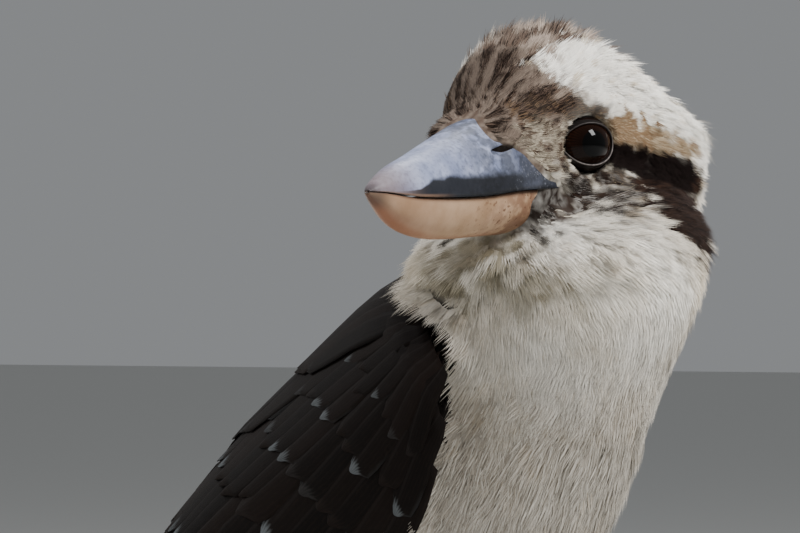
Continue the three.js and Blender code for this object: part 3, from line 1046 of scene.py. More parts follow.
@dataclass
class Markings:
    """The colours of the plumage over the whole bird, for skin and coat alike, with painted shade on the
    throat and the breast.
    """

    brow: Stroke = Stroke(((8, 10.5, 19.5, 3.0), (1, 14, 19.5, 6.6), (-8, 17.5, 18.5, 9.2),
                           (-16, 21.5, 15, 9.2), (-24, 25, 11, 7.6), (-34, 27.5, 7, 7.6), (-43, 26, 0, 9),
                           (-50, 14, -2, 13), (-53, 0, -3, 14)), 2.8)
    over_eye: Stroke = Stroke(((20, 10.5, 8, 2.5), (14, 13.5, 9.5, 3.2), (8, 16, 9.5, 3.0),
                               (2, 18.3, 9, 2.0), (-5, 20.8, 8, 1.4)), 1.6)
    line: Stroke = Stroke(((-6.5, 21.3, 6.5, 1.4), (-9.5, 22.2, 3.6, 5.0), (-15, 23.3, 1.6, 5.0),
                           (-21, 25, 0.4, 4.4), (-29, 27.2, -0.8, 3.4), (-38, 27.8, -1.4, 2.6)), 1.6)
    stripe: Stroke = Stroke(((5, 13.2, -2.5, 0.7), (1, 14.8, -6, 1.0), (-4, 18.5, -6.3, 1.6),
                             (-9.5, 21.6, -3.2, 3.6), (-15.4, 22.7, -3.8, 4.2), (-21, 24.4, -5.6, 4.4),
                             (-27, 26.5, -6.4, 4.6), (-34, 28, -7.5, 4.6)), 0.9)
    mask: Stroke = Stroke(((-36, 28, -7.5, 4.8), (-27, 28.5, -10.5, 7.2), (-20, 31.5, -14.5, 9.4),
                           (-16.5, 35, -19.5, 9.4), (-19, 38, -24, 5.5)), 2.0)
    mask_back: Stroke = Stroke(((-37, 29, -9, 5.5), (-35, 31, -13, 7), (-31, 34, -18, 7),
                                (-26, 37, -25, 4.5)), 1.8)
    mask_front: Stroke = Stroke(((-14, 25, -11, 4.4), (-7, 26.5, -14, 4.4), (-1, 30, -18.5, 3.4)), 2.8)
    malar: Stroke = Stroke(((20, 10.8, -16, 4.4), (15, 12.2, -17.5, 5.4), (9.5, 14.5, -16, 5.2),
                            (3.5, 19, -14.8, 4.4), (-3.8, 26.2, -15, 3.8)), 2.8)
    under_eye: Stroke = Stroke(((20, 11.5, 1, 3.5), (14, 14, -2, 3.6), (9, 15, -6, 3.6), (3, 16.5, -9.5, 3),
                                (-5, 20.5, -10, 2.8), (-12, 24, -9.5, 2.4)), 2.0)
    bristles: Stroke = Stroke(((9, 14.6, -12.5, 1.6), (14.5, 12.8, -15, 3.4), (16.5, 12, -19, 3.6),
                               (15.8, 14, -22.5, 2.2)), 1.8)
    warm: Stroke = Stroke(((4, 15.5, -8.5, 2.4), (-3, 19, -9.5, 3.2), (-9, 22.5, -9, 3.6),
                           (-15, 24.5, -9.5, 3.8), (-20, 26, -10.5, 3.4)), 2.0)
    gape: Stroke = Stroke(((9, 14.8, -11.2, 0.4), (2, 17, -10.8, 0.3)), 0.8)
    lore: Stroke = Stroke(((18, 11.5, 4, 3.5), (11, 14.5, 3, 3.6), (6, 14.5, 0, 3.4)), 2.0)
    nostril: Stroke = Stroke(((25.5, 11, -1.4, 1.0), (28.5, 9.8, -1.5, 1.5), (32, 8.6, -1.6, 1.4)), 0.8)
    cheek: Stroke = Stroke(((13, 13.4, -14.5, 4.6), (6, 15.5, -13.5, 6.0), (0, 19, -14, 6.2),
                            (-8, 24.5, -13.5, 5.8)), 2.4)
    # Where the painted shade lies on the throat, under the bill.
    throat: Stroke = Stroke(((20, 2, -28, 8), (14, 8, -33, 9), (7, 14, -37, 9)), 6.0)
    head_floor: Profile = Profile((-60, 30), (-44, 18), (-30, 17), (-14, 17), (-2, 16), (8, 4), (16, -8),
                                  (24, -10))
    streak: Ripple = field(default_factory=lambda: Ripple(4.6, 21))
    fine: Ripple = field(default_factory=lambda: Ripple(7.0, 22))
    broad: Ripple = field(default_factory=lambda: Ripple(30.0, 23))
    bars: Ripple = field(default_factory=lambda: Ripple(18.0, 24))

    def head_weight(self, points: Array) -> Array:
        """1 on the head and 0 from the throat down."""
        return smooth(172, 182, points[:, 2])

    def paint(self, points: Array, draw: Array) -> tuple[Array, Array]:
        """Colours of the plumage at each point.

        Args:
            points: places on the skin, in millimetres.
            draw: a random number from 0 to 1 for each, which picks dark or pale feathers.

        Returns:
            The colour of each feather and of its tip, as linear red, green and blue.
        """
        f, l, u = HEAD.local(points)
        wander = self.fine(points)
        colour, tip = self._body(points, draw)
        head, head_tip = self._crown(f, l, u, draw)
        floor = self.head_floor(f) - 0.08 * np.abs(l)
        weight = smooth(-2, 6, u - floor + 1.5 * wander)[:, None]
        colour, tip = lerp(colour, head, weight), lerp(tip, head_tip, weight)

        def lay(cover: Array, shade: Array, shade_tip: Array, scatter: float = 0.0) -> None:
            """Lays a marking over the colours so far; scatter breaks its edge feather by feather.

            Args:
                cover: how fully it covers each point.
                shade: its colour.
                shade_tip: its colour at the feathers' tips.
                scatter: how far single feathers break its edge.
            """
            nonlocal colour, tip
            if scatter:
                partly = (cover > 0.02) * (cover < 0.98)
                cover = smooth(0.3, 0.7, cover + scatter * (draw - 0.5) * partly)
            colour, tip = lerp(colour, shade, cover[:, None]), lerp(tip, shade_tip, cover[:, None])

        white = self._pick(draw, 0.94, Shade.WHITE, Shade.CREAM)
        white_tip = self._pick(draw, 0.96, Shade.WHITE, Shade.WARM)
        grizzle = self._pick(draw + 0.25 * self.streak(points * 1.4), 0.6, Shade.CREAM, Shade.CROWN)
        umber, mask = Shade.CROWN_DARK.linear, Shade.MASK.linear
        # Painted shade: the throat under the bill is laid over with dark olive-grey for shadow and green
        # reflected light.
        throat_shadow = Shade.OLIVE.linear
        lay(0.85 * self.throat.cover(f, l, u, 2.0 * wander), throat_shadow, throat_shadow)
        for stroke in (self.under_eye, self.lore):
            lay(stroke.cover(f, l, u, 1.6 * wander), grizzle, lerp(grizzle, umber, 0.6))
        lay(self.brow.cover(f, l, u, 1.6 * wander), white, white_tip, 1.1)
        over = self._pick(draw, 0.6, Shade.CROWN, Shade.BUFF)
        lay(0.9 * self.over_eye.cover(f, l, u, 1.2 * wander), over, umber)
        buff = self._pick(draw, 0.8, Shade.WARM, Shade.BUFF)
        lay(self.line.cover(f, l, u, 1.2 * wander), buff, Shade.BUFF.linear, 0.7)
        russet = self._pick(draw, 0.5, Shade.BUFF, Shade.CROWN)
        lay(0.9 * self.warm.cover(f, l, u, 1.6 * wander), russet, umber)
        peppered = self._pick(draw + 0.3 * self.streak(points * 1.7), 0.34, Shade.GREY, Shade.CROWN_DARK)
        lay(0.85 * self.cheek.cover(f, l, u, 2.0 * wander), peppered, lerp(peppered, umber, 0.5))
        brown = self._pick(draw, 0.55, Shade.MASK_PALE, Shade.WARM)
        lay(0.85 * self.mask_front.cover(f, l, u, 2.0 * wander), brown, mask)
        speckled = self._pick(draw + 0.3 * self.streak(points * 2.0), 0.6, Shade.MASK_PALE, Shade.GREY)
        lay(0.92 * self.malar.cover(f, l, u, 2.0 * wander), speckled, mask)
        lay(0.9 * self.bristles.cover(f, l, u, wander), speckled * 0.4, mask)
        dark = self._pick(draw, 0.75, Shade.MASK, Shade.MASK_PALE)
        for stroke in (self.mask, self.mask_back):
            lay(stroke.cover(f, l, u, 1.4 * wander), dark, Shade.MASK_PALE.linear, 0.5)
        for stroke in (self.gape, self.nostril):
            lay(stroke.cover(f, l, u, 0 * wander), mask, mask)
        lay(self.stripe.cover(f, l, u, 0.4 * wander), mask, mask)
        return colour, tip

    @staticmethod
    def _pick(draw: Array, share: float, usual: Shade, other: Shade) -> Array:
        """The usual colour for that share of the feathers and the other for the rest."""
        other_weight = smooth(share - 0.06, share + 0.06, draw)[:, None]
        return lerp(usual.linear, other.linear, other_weight)

    def _crown(self, f: Array, l: Array, u: Array, draw: Array) -> tuple[Array, Array]:
        """The brown crown, streaked away from the bill.

        Args:
            f: how far forward each point lies in the head's frame.
            l: how far left.
            u: how far up.
            draw: a random number from 0 to 1 for each.

        Returns:
            The colour of each feather and of its tip.
        """
        angle = np.arctan2(l, u + 8)
        flow = np.stack([angle * 44, f * 0.3, np.zeros_like(f)], axis=-1)
        dark = smooth(-0.7, 0.7, self.streak(flow) + 1.1 * (draw - 0.5))
        pale = Shade.CROWN_PALE.linear
        front = smooth(4, 16, f)[:, None]
        pale = lerp(pale, Shade.CROWN.linear, 0.45 * front)
        colour = lerp(pale, Shade.CROWN.linear, (0.85 * dark)[:, None])
        return colour, lerp(Shade.CROWN_DARK.linear, colour, (0.55 * (1 - dark))[:, None])

    def on_back(self, points: Array) -> Array:
        """1 where the plumage is the back's dark brown and 0 elsewhere.

        Args:
            points: places in the row frame, in millimetres.

        Returns:
            A share from 0 to 1 for each.
        """
        _, _, u = TRUNK.local(points)
        x, y, z = (points - ORIGIN).T
        back = smooth(-2, 5, u - 6 + 0.32 * np.abs(x) + 1.5 * self.fine(points))
        return back * smooth(169, 160, z - 0.35 * y - 4)

    def _body(self, points: Array, draw: Array) -> tuple[Array, Array]:
        """White and buff below, painted darker and greyer by painted shade from the neck down, dark brown on
        the back and barred rufous on the rump.

        Args:
            points: places in the row frame, in millimetres.
            draw: a random number from 0 to 1 for each.

        Returns:
            The colour of each feather and of its tip.
        """
        y, z = (points - ORIGIN).T[1:]
        white, cream, warm = Shade.WHITE.linear, Shade.CREAM.linear, Shade.WARM.linear
        mottle = np.clip(0.35 + 0.3 * self.broad(points), 0, 1)[:, None]
        colour = lerp(white, cream, mottle)
        # Painted shade: from the neck down the underparts are painted darker and greyer, for the shade on
        # the breast under light from above and behind.
        breast = smooth(176, 120, z)[:, None]
        shaded = lerp(lerp(cream, warm, 0.4), Shade.GREY.linear, 0.6) * 0.7
        colour = lerp(colour, shaded, 0.95 * breast)
        colour = lerp(colour, warm, (0.35 * smooth(0.82, 0.97, draw))[:, None])
        tip = lerp(colour, white, 0.25)
        back = self.on_back(points)
        dark = self._pick(draw, 0.7, Shade.BACK, Shade.BACK_PALE)
        colour, tip = lerp(colour, dark, back[:, None]), lerp(tip, dark, back[:, None])
        _, _, tail_up = TAIL.local(points)
        rump = back * smooth(18, 34, y) * smooth(-2, 4, tail_up)
        bars = 0.5 + 0.5 * np.sin(y * 0.9 + self.bars(points))
        barred = self._pick(bars, 0.4, Shade.RUFOUS, Shade.BAR)
        return lerp(colour, barred, rump[:, None]), lerp(tip, barred, rump[:, None])


MARKINGS = Markings()


# Skin


@dataclass
class Skin:
    """The one skin under the coat, from which the coat's roots are taken."""

    voxel: float = 1.3
    soften_rounds: int = 7
    fold_rounds: int = 45
    face_depth: float = 0.9
    head_depth: float = 2.0
    body_depth: float = 3.2
    wing_depth: float = 1.6
    socket_radius: float = 7.5
    socket_depth: float = 5.0
    bridge_low: int = 108
    bridge_high: int = 166
    bridge_sectors: int = 72
    behind_eye: Stroke = Stroke(((-9, 22.5, -3, 2.0), (-18, 26, -4, 2.5)), 2.0)
    mouth: Stroke = Stroke(((6, 14.8, -11.2, 0.6), (-6.6, 18.2, -10.8, 0.3)), 1.4)
    brow: Stroke = Stroke(((9, 15, 10, 1.5), (0, 19, 12, 2.0), (-12, 24, 9, 2.0)), 4.0)

    def build(self) -> Piece:
        """The flesh as one closed mesh, as far inside the bird's outline as the coat is deep.

        Returns:
            The skin as a mesh object.
        """
        trunk = TrunkForm()
        parts = [HeadForm().body(), BRIDLE_FORM.body(), NeckForm().body(), trunk.trunk(), trunk.rump()]
        for side in Side:
            parts += [trunk.thigh(side), WING_FORM.slab(side)]
        skin = join("skin", parts)
        remesh = skin.modifiers.new("whole", "REMESH")
        remesh.mode = "VOXEL"
        remesh.voxel_size = self.voxel * METRES_PER_MM
        remesh.use_smooth_shade = True
        soften = skin.modifiers.new("soften", "SMOOTH")
        soften.factor = 0.5
        soften.iterations = self.soften_rounds
        settle(skin)
        move_points(skin, self._bridge(points_of(skin)))
        self._fill_folds(skin)
        points = self._sculpt(points_of(skin))
        move_points(skin, points)
        move_points(skin, points - normals_of(skin) * self.depth(points)[:, None])
        return skin

    def _bridge(self, points: Array) -> Array:
        """Carries the plumage straight over the hollow between neck and breast.

        Args:
            points: the skin's vertices.

        Returns:
            The vertices after it.
        """
        low, high, sectors = self.bridge_low, self.bridge_high, self.bridge_sectors
        axis = ORIGIN + np.array([0.0, -30.0, 0.0])
        x, y = (points - axis)[:, :2].T
        z = points[:, 2]
        angle = np.arctan2(x, y)
        radius = np.maximum(np.hypot(x, y), 1e-3)
        sector = ((angle + math.pi) / (2 * math.pi) * sectors).astype(int) % sectors
        level = np.clip((z - low).astype(int), 0, high - low)
        inside = (z > low) & (z < high)
        reach = np.zeros((sectors, high - low + 1))
        np.maximum.at(reach, (sector[inside], level[inside]), radius[inside])
        want = reach.copy()
        for row in want:
            known = np.flatnonzero(row)
            for first in known:
                for last in known[known > first + 1]:
                    span = np.arange(first, last + 1)
                    chord = lerp(row[first], row[last], (span - first) / (last - first))
                    row[span] = np.maximum(row[span], chord)
        gap = np.where(reach > 0, want - reach, 0.0)
        for _ in range(6):
            gap = (np.roll(gap, 1, axis=0) + gap * 2 + np.roll(gap, -1, axis=0)) / 4
        share = (z > low) * (z < high) * (1 - self.on_wing(points)) * smooth(28, 10, y)
        out = np.stack([x / radius, y / radius, np.zeros_like(x)], axis=-1)
        return points + out * (gap[sector, level] * share)[:, None]

    def _fill_folds(self, skin: Piece) -> None:
        """Smooths the fold between neck and breast, which the plumage bridges.

        Args:
            skin: the skin's mesh object.
        """
        points = points_of(skin)
        z = points[:, 2]
        soft = smooth(104, 122, z) * smooth(168, 156, z) * (1 - self.on_wing(points))
        group = skin.vertex_groups.new(name="fold")
        for level in range(1, 11):
            chosen = np.flatnonzero(np.ceil(soft * 10) == level)
            if len(chosen):
                group.add(chosen.tolist(), level / 10, "REPLACE")
        fold = skin.modifiers.new("fold", "SMOOTH")
        fold.factor = 0.9
        fold.iterations = self.fold_rounds
        fold.vertex_group = "fold"
        settle(skin)
        skin.vertex_groups.clear()

    def depth(self, points: Array) -> Array:
        """How far the coat stands over the skin at each point.

        Args:
            points: places in the row frame, in millimetres.

        Returns:
            Millimetres for each.
        """
        f, _, u = HEAD.local(points)
        depth = lerp(self.body_depth, self.head_depth, MARKINGS.head_weight(points))
        face = np.zeros(len(points))
        for side in Side:
            away = np.linalg.norm(points - EYE_FORM.middle(side), axis=1)
            face = np.maximum(face, smooth(20, 9, away))
        face = np.maximum(face, smooth(6, 14, f) * smooth(-34, -28, u) * smooth(165, 172, points[:, 2]))
        depth = lerp(depth, self.face_depth, face)
        return lerp(depth, self.wing_depth, self.on_wing(points))

    def on_wing(self, points: Array) -> Array:
        """1 on the folded wings and 0 elsewhere.

        Args:
            points: places in the row frame, in millimetres.

        Returns:
            A share from 0 to 1 for each.
        """
        f, l, u = WING.local(points)
        a = -f
        half = WING_FORM.half(a)
        reach = np.where(u > 0, WING_FORM.top(a), WING_FORM.bottom(a))
        flat = np.arctan2(np.abs(l) / half, u / reach)
        turn = np.degrees(flat)
        surface = np.hypot(half * np.sin(flat), reach * np.cos(flat))
        near = smooth(-13, -9, np.hypot(l, u) - surface)
        edge = np.minimum(turn - WING_FORM.upper_edge(a), WING_FORM.lower_edge(a) - turn)
        span = smooth(-22, -16, a) * smooth(WING_FORM.core_end + 12, WING_FORM.core_end + 6, a)
        return near * smooth(-7, -1, edge) * span

    def _sculpt(self, points: Array) -> Array:
        """Sets the eyes' sockets, the brows, the gape and the cheeks into the head.

        Args:
            points: the skin's vertices.

        Returns:
            The vertices after it.
        """
        for side in Side:
            axes = EYE_FORM.axes(side)
            out, left, up = axes.local(points)
            r = np.hypot(left / 1.08, up)
            near = (np.abs(out) < 12) * MARKINGS.head_weight(points)
            dish = near * (1 - smooth(5.6, self.socket_radius, r))
            points = points - axes.turn(1, 0, 0) * (dish * self.socket_depth)[:, None]
            f, l, u = HEAD.local(points)
            brow, behind, mouth = (stroke.cover(f, l, u, np.zeros(len(f)))
                                   for stroke in (self.brow, self.behind_eye, self.mouth))
            swell = brow - behind * 1.2 - mouth
            own_side = np.where(l * side.value > 0, 1.0, 0.0)
            outward = HEAD.turn(0.3, side.value, 0.1)
            points = points + outward * (swell * own_side * near)[:, None]
        return points


# Lie of the coat


@dataclass
class Lie:
    """Which way the feathers point over the skin, from root to tip."""

    bill_root: tuple[float, float] = (27.0, -3.0)
    sway_deg: float = 6.0
    sway: Ripple = field(default_factory=lambda: Ripple(16.0, 31))
    lock: Ripple = field(default_factory=lambda: Ripple(5.5, 32))

    @staticmethod
    def beside_wing(points: Array) -> Array:
        """1 along the folded wing's lower edge, where the breast falls over it, and 0 elsewhere.

        Args:
            points: places in the row frame, in millimetres.

        Returns:
            A share from 0 to 1 for each.
        """
        f, l, u = WING.local(points)
        a = -f
        turn = np.degrees(np.arctan2(np.abs(l) / WING_FORM.half(a), u / WING_FORM.bottom(a)))
        past = turn - WING_FORM.lower_edge(a)
        return smooth(26, 6, past) * smooth(-14, -2, past) * smooth(-26, -16, a) * smooth(40, 15, a)

    def flow(self, points: Array, normals: Array) -> Array:
        """Unit directions in the skin's surface at each point.

        Args:
            points: places in the row frame, in millimetres.
            normals: the skin's normal at each.

        Returns:
            One unit row for each point.
        """
        f, l, u = HEAD.local(points)
        away = unit(np.stack([f - self.bill_root[0], l, u - self.bill_root[1]], axis=-1))
        from_bill = sum(HEAD.turn(*way) * away[:, k:k + 1] for k, way in enumerate(np.eye(3)))
        from_bill = from_bill + np.array([0.0, 0.0, -0.5]) * smooth(-2, -14, f)[:, None]
        down = unit(-TRUNK.turn(1, 0, 0) + np.array([0.0, 0.0, -0.45]))
        neck = np.array([0.0, 0.15, -1.0])
        z = points[:, 2]
        body = lerp(down, neck, smooth(128, 160, z)[:, None])
        back = smooth(10, 30, TRUNK.local(points)[2])
        body = lerp(body, -TRUNK.turn(1, 0, 0), (back * smooth(165, 150, z))[:, None])
        behind = smooth(20, 40, (points - ORIGIN)[:, 1])
        body = lerp(body, -TAIL.turn(1, 0, 0), behind[:, None])
        body = lerp(body, -WING.turn(1, 0, 0), (0.75 * self.beside_wing(points))[:, None])
        weight = smooth(158, 178, z + 0.25 * f)[:, None]
        lie = lerp(body, from_bill, weight)
        lie = unit(lie - normals * (lie * normals).sum(axis=1, keepdims=True))
        side = np.cross(normals, lie)
        turn = np.radians(self.sway_deg) * (self.sway(points) + self.lock(points))
        return unit(lie * np.cos(turn)[:, None] + side * np.sin(turn)[:, None])


LIE = Lie()


# Coat


class Form(Enum):
    """The kinds of small feather."""

    PLUME = "plume"
    WHISK = "whisk"
    SCALE = "scale"


@dataclass
class Feather:
    """A small feather one unit long, lying along +Y with its face to +Z."""

    form: Form
    seed: int
    strands: int = 9
    outline: tuple[tuple[float, float], ...] = ((0.0, 0.16), (0.3, 0.42), (0.66, 0.5), (1.0, 0.3))

    def build(self) -> Piece:
        """The feather as strands round a short vane; its blade attribute runs across and along.

        Returns:
            The feather's mesh object.
        """
        rng = np.random.default_rng(self.seed)
        points: list[tuple[float, float, float]] = []
        blade: list[tuple[float, float, float]] = []
        faces: list[tuple[int, ...]] = []
        fan, vane_end, fine = {
            Form.PLUME: (0.5, 0.55, 0.05),
            Form.WHISK: (0.42, 0.0, 0.075),
            Form.SCALE: (0.36, 0.86, 0.07),
        }[self.form]

        def add(x: float, y: float, z: float, tone: float) -> int:
            """Adds a point and returns its number.

            Args:
                x: its place across.
                y: its place along.
                z: its height.
                tone: its strand's random number.

            Returns:
                The point's number.
            """
            points.append((x, y, z))
            blade.append((x * 2, y, tone))
            return len(points) - 1

        def height(y: float) -> float:
            """The feather's rise at y."""
            return -0.25 + 1.5 * y - 0.55 * y * y

        if vane_end:
            rows = []
            for share, half in self.outline:
                y = share * vane_end
                edge = height(y) - 0.12
                row = ((-half, edge), (0.0, height(y)), (half, edge))
                rows.append(tuple(add(x, y, z, 0.5) for x, z in row))
            for low, high in zip(rows[:-1], rows[1:]):
                faces += [(low[0], low[1], high[1], high[0]), (low[1], low[2], high[2], high[1])]
        for k in range(self.strands):
            share = (k + 0.5) / self.strands * 2 - 1 + rng.uniform(-0.08, 0.08)
            start = rng.uniform(0.0, 0.15) if not vane_end else vane_end * rng.uniform(0.45, 0.85)
            reach = rng.uniform(0.8, 1.04) * (1 - 0.22 * share * share)
            base_x = share * (0.5 if vane_end else 0.16)
            tip_x = share * fan * rng.uniform(0.85, 1.15) + rng.uniform(-0.05, 0.05)
            mid_y = lerp(start, reach, 0.55)
            mid_x = lerp(base_x, tip_x, 0.6) + rng.uniform(-0.02, 0.02)
            tone = rng.uniform(0, 1)
            lift = rng.uniform(-0.04, 0.1)
            wide = fine * rng.uniform(0.75, 1.25) / 2
            a = add(base_x - wide, start, height(start) - 0.02, tone)
            b = add(base_x + wide, start, height(start) - 0.02, tone)
            c = add(mid_x + wide * 0.8, mid_y, height(mid_y) + lift * 0.5, tone)
            d = add(mid_x - wide * 0.8, mid_y, height(mid_y) + lift * 0.5, tone)
            e = add(tip_x, reach, height(reach) + lift, tone)
            faces += [(a, b, c, d), (d, c, e)]
        piece = make_object(f"{self.form.value}_{self.seed}", np.array(points) / METRES_PER_MM, faces)
        store(piece, "blade", np.array(blade))
        return piece


class CoatTree:
    """The Geometry Nodes tree that sets a feather on every root."""

    PATCH = 0.003

    def __init__(self) -> None:
        """Builds the tree with its named inputs."""
        self.tree = bpy.data.node_groups.new("coat", "GeometryNodeTree")
        interface = self.tree.interface
        self.sockets = {}
        for name, kind in (("Geometry", "NodeSocketGeometry"), ("Feather", "NodeSocketObject"),
                           ("Finish", "NodeSocketMaterial"), ("Patch", "NodeSocketFloat")):
            self.sockets[name] = interface.new_socket(name, in_out="INPUT", socket_type=kind).identifier
        interface.new_socket("Geometry", in_out="OUTPUT", socket_type="NodeSocketGeometry")
        self._wire()

    def _node(self, kind: str, settings: dict[str, Any] | None = None,
              links: dict[Any, Any] | None = None) -> bpy.types.Node:
        """Adds a node with its settings and the sockets or values that it takes.

        Args:
            kind: the node's type name.
            settings: its properties.
            links: sockets or values by input name or number.

        Returns:
            The node.
        """
        node = self.tree.nodes.new(kind)
        for key, value in (settings or {}).items():
            setattr(node, key, value)
        for key, value in (links or {}).items():
            if isinstance(value, bpy.types.NodeSocket):
                self.tree.links.new(value, node.inputs[key])
            else:
                node.inputs[key].default_value = value
        return node

    def _named(self, name: str) -> bpy.types.NodeSocket:
        """A named vector of the roots or of the feather."""
        node = self._node("GeometryNodeInputNamedAttribute", {"data_type": "FLOAT_VECTOR"}, {"Name": name})
        return node.outputs["Attribute"]

    def _wire(self) -> None:
        """Connects roots, feather, map and finish."""
        group = self._node("NodeGroupInput").outputs
        axes = self._node("FunctionNodeAxesToRotation", {"primary_axis": "Z", "secondary_axis": "Y"},
                          {0: self._named("normal_way"), 1: self._named("lie")})
        feather = self._node("GeometryNodeObjectInfo", {"transform_space": "ORIGINAL"},
                             {"Object": group["Feather"]})
        spread = self._node("GeometryNodeInstanceOnPoints", None, {
            "Points": group["Geometry"], "Instance": feather.outputs["Geometry"],
            "Rotation": axes.outputs[0], "Scale": self._named("size")})
        real = self._node("GeometryNodeRealizeInstances", None, {"Geometry": spread.outputs[0]})
        half = self._node("ShaderNodeVectorMath", {"operation": "MULTIPLY"},
                          {0: self._named("blade"), 1: (0.5, 1, 0)})
        spot = self._node("ShaderNodeVectorMath", {"operation": "SCALE"},
                          {0: half.outputs[0], "Scale": group["Patch"]})
        place = self._node("ShaderNodeVectorMath", {"operation": "ADD"},
                           {0: self._named("root_map"), 1: spot.outputs[0]})
        kept = self._node("GeometryNodeStoreNamedAttribute", {"data_type": "FLOAT2", "domain": "CORNER"}, {
            "Geometry": real.outputs[0], "Name": "OFBake", "Value": place.outputs[0]})
        dressed = self._node("GeometryNodeSetMaterial", None,
                             {"Geometry": kept.outputs[0], "Material": group["Finish"]})
        output = self._node("NodeGroupOutput")
        self.tree.links.new(dressed.outputs[0], output.inputs[0])

    def grow(self, name: str, roots: "Roots", feather: Piece,
             finish: Material) -> Piece:
        """Sets a feather on every root.

        Args:
            name: the piece's name.
            roots: where the feathers grow, and their sizes and colours.
            feather: the feather's shape.
            finish: its material.

        Returns:
            The feathers as one plain mesh.
        """
        piece = roots.carrier(name)
        modifier = piece.modifiers.new("coat", "NODES")
        modifier.node_group = self.tree
        modifier[self.sockets["Feather"]] = feather
        modifier[self.sockets["Finish"]] = finish
        modifier[self.sockets["Patch"]] = self.PATCH
        settle(piece)
        for spare in ("lie", "size", "root_map"):
            if spare in piece.data.attributes:
                piece.data.attributes.remove(piece.data.attributes[spare])
        return piece


@dataclass
class Roots:
    """Where feathers grow on the skin, and what each looks like."""

    points: Array
    normals: Array
    lie: Array
    width: Array
    length: Array
    height: Array
    tint: Array
    tip: Array
    chart: Array

    def pick(self, mask: Array) -> "Roots":
        """Only the chosen roots."""
        return Roots(*(getattr(self, name)[mask] for name in self.__dataclass_fields__))

    def carrier(self, name: str) -> Piece:
        """A mesh of loose vertices that carries the roots.

        Args:
            name: the mesh object's name.

        Returns:
            The mesh object.
        """
        piece = make_object(name, self.points, [])
        store(piece, "normal_way", self.normals)
        store(piece, "lie", self.lie)
        size = np.stack([self.width, self.length, self.height], axis=-1)
        store(piece, "size", size * METRES_PER_MM)
        store_colour(piece, "tint", self.tint)
        store_colour(piece, "tip", self.tip)
        store(piece, "root_map", np.column_stack([self.chart, np.zeros(len(self.chart))]))
        return piece


@dataclass(frozen=True)
class Patch:
    """A region of the coat: where it lies and how its feathers grow there."""

    name: str
    slot: Slot
    form: Form
    where: Callable[[Array], Array]
    per_mm2: float
    length: Callable[[Array], Array]
    width_share: float
    lift: Callable[[Array], Array]
    chart: Callable[[Array], Array]
    strands: int = 9
    ruffle_deg: float = 8.0
    shaggy_share: float = 0.0


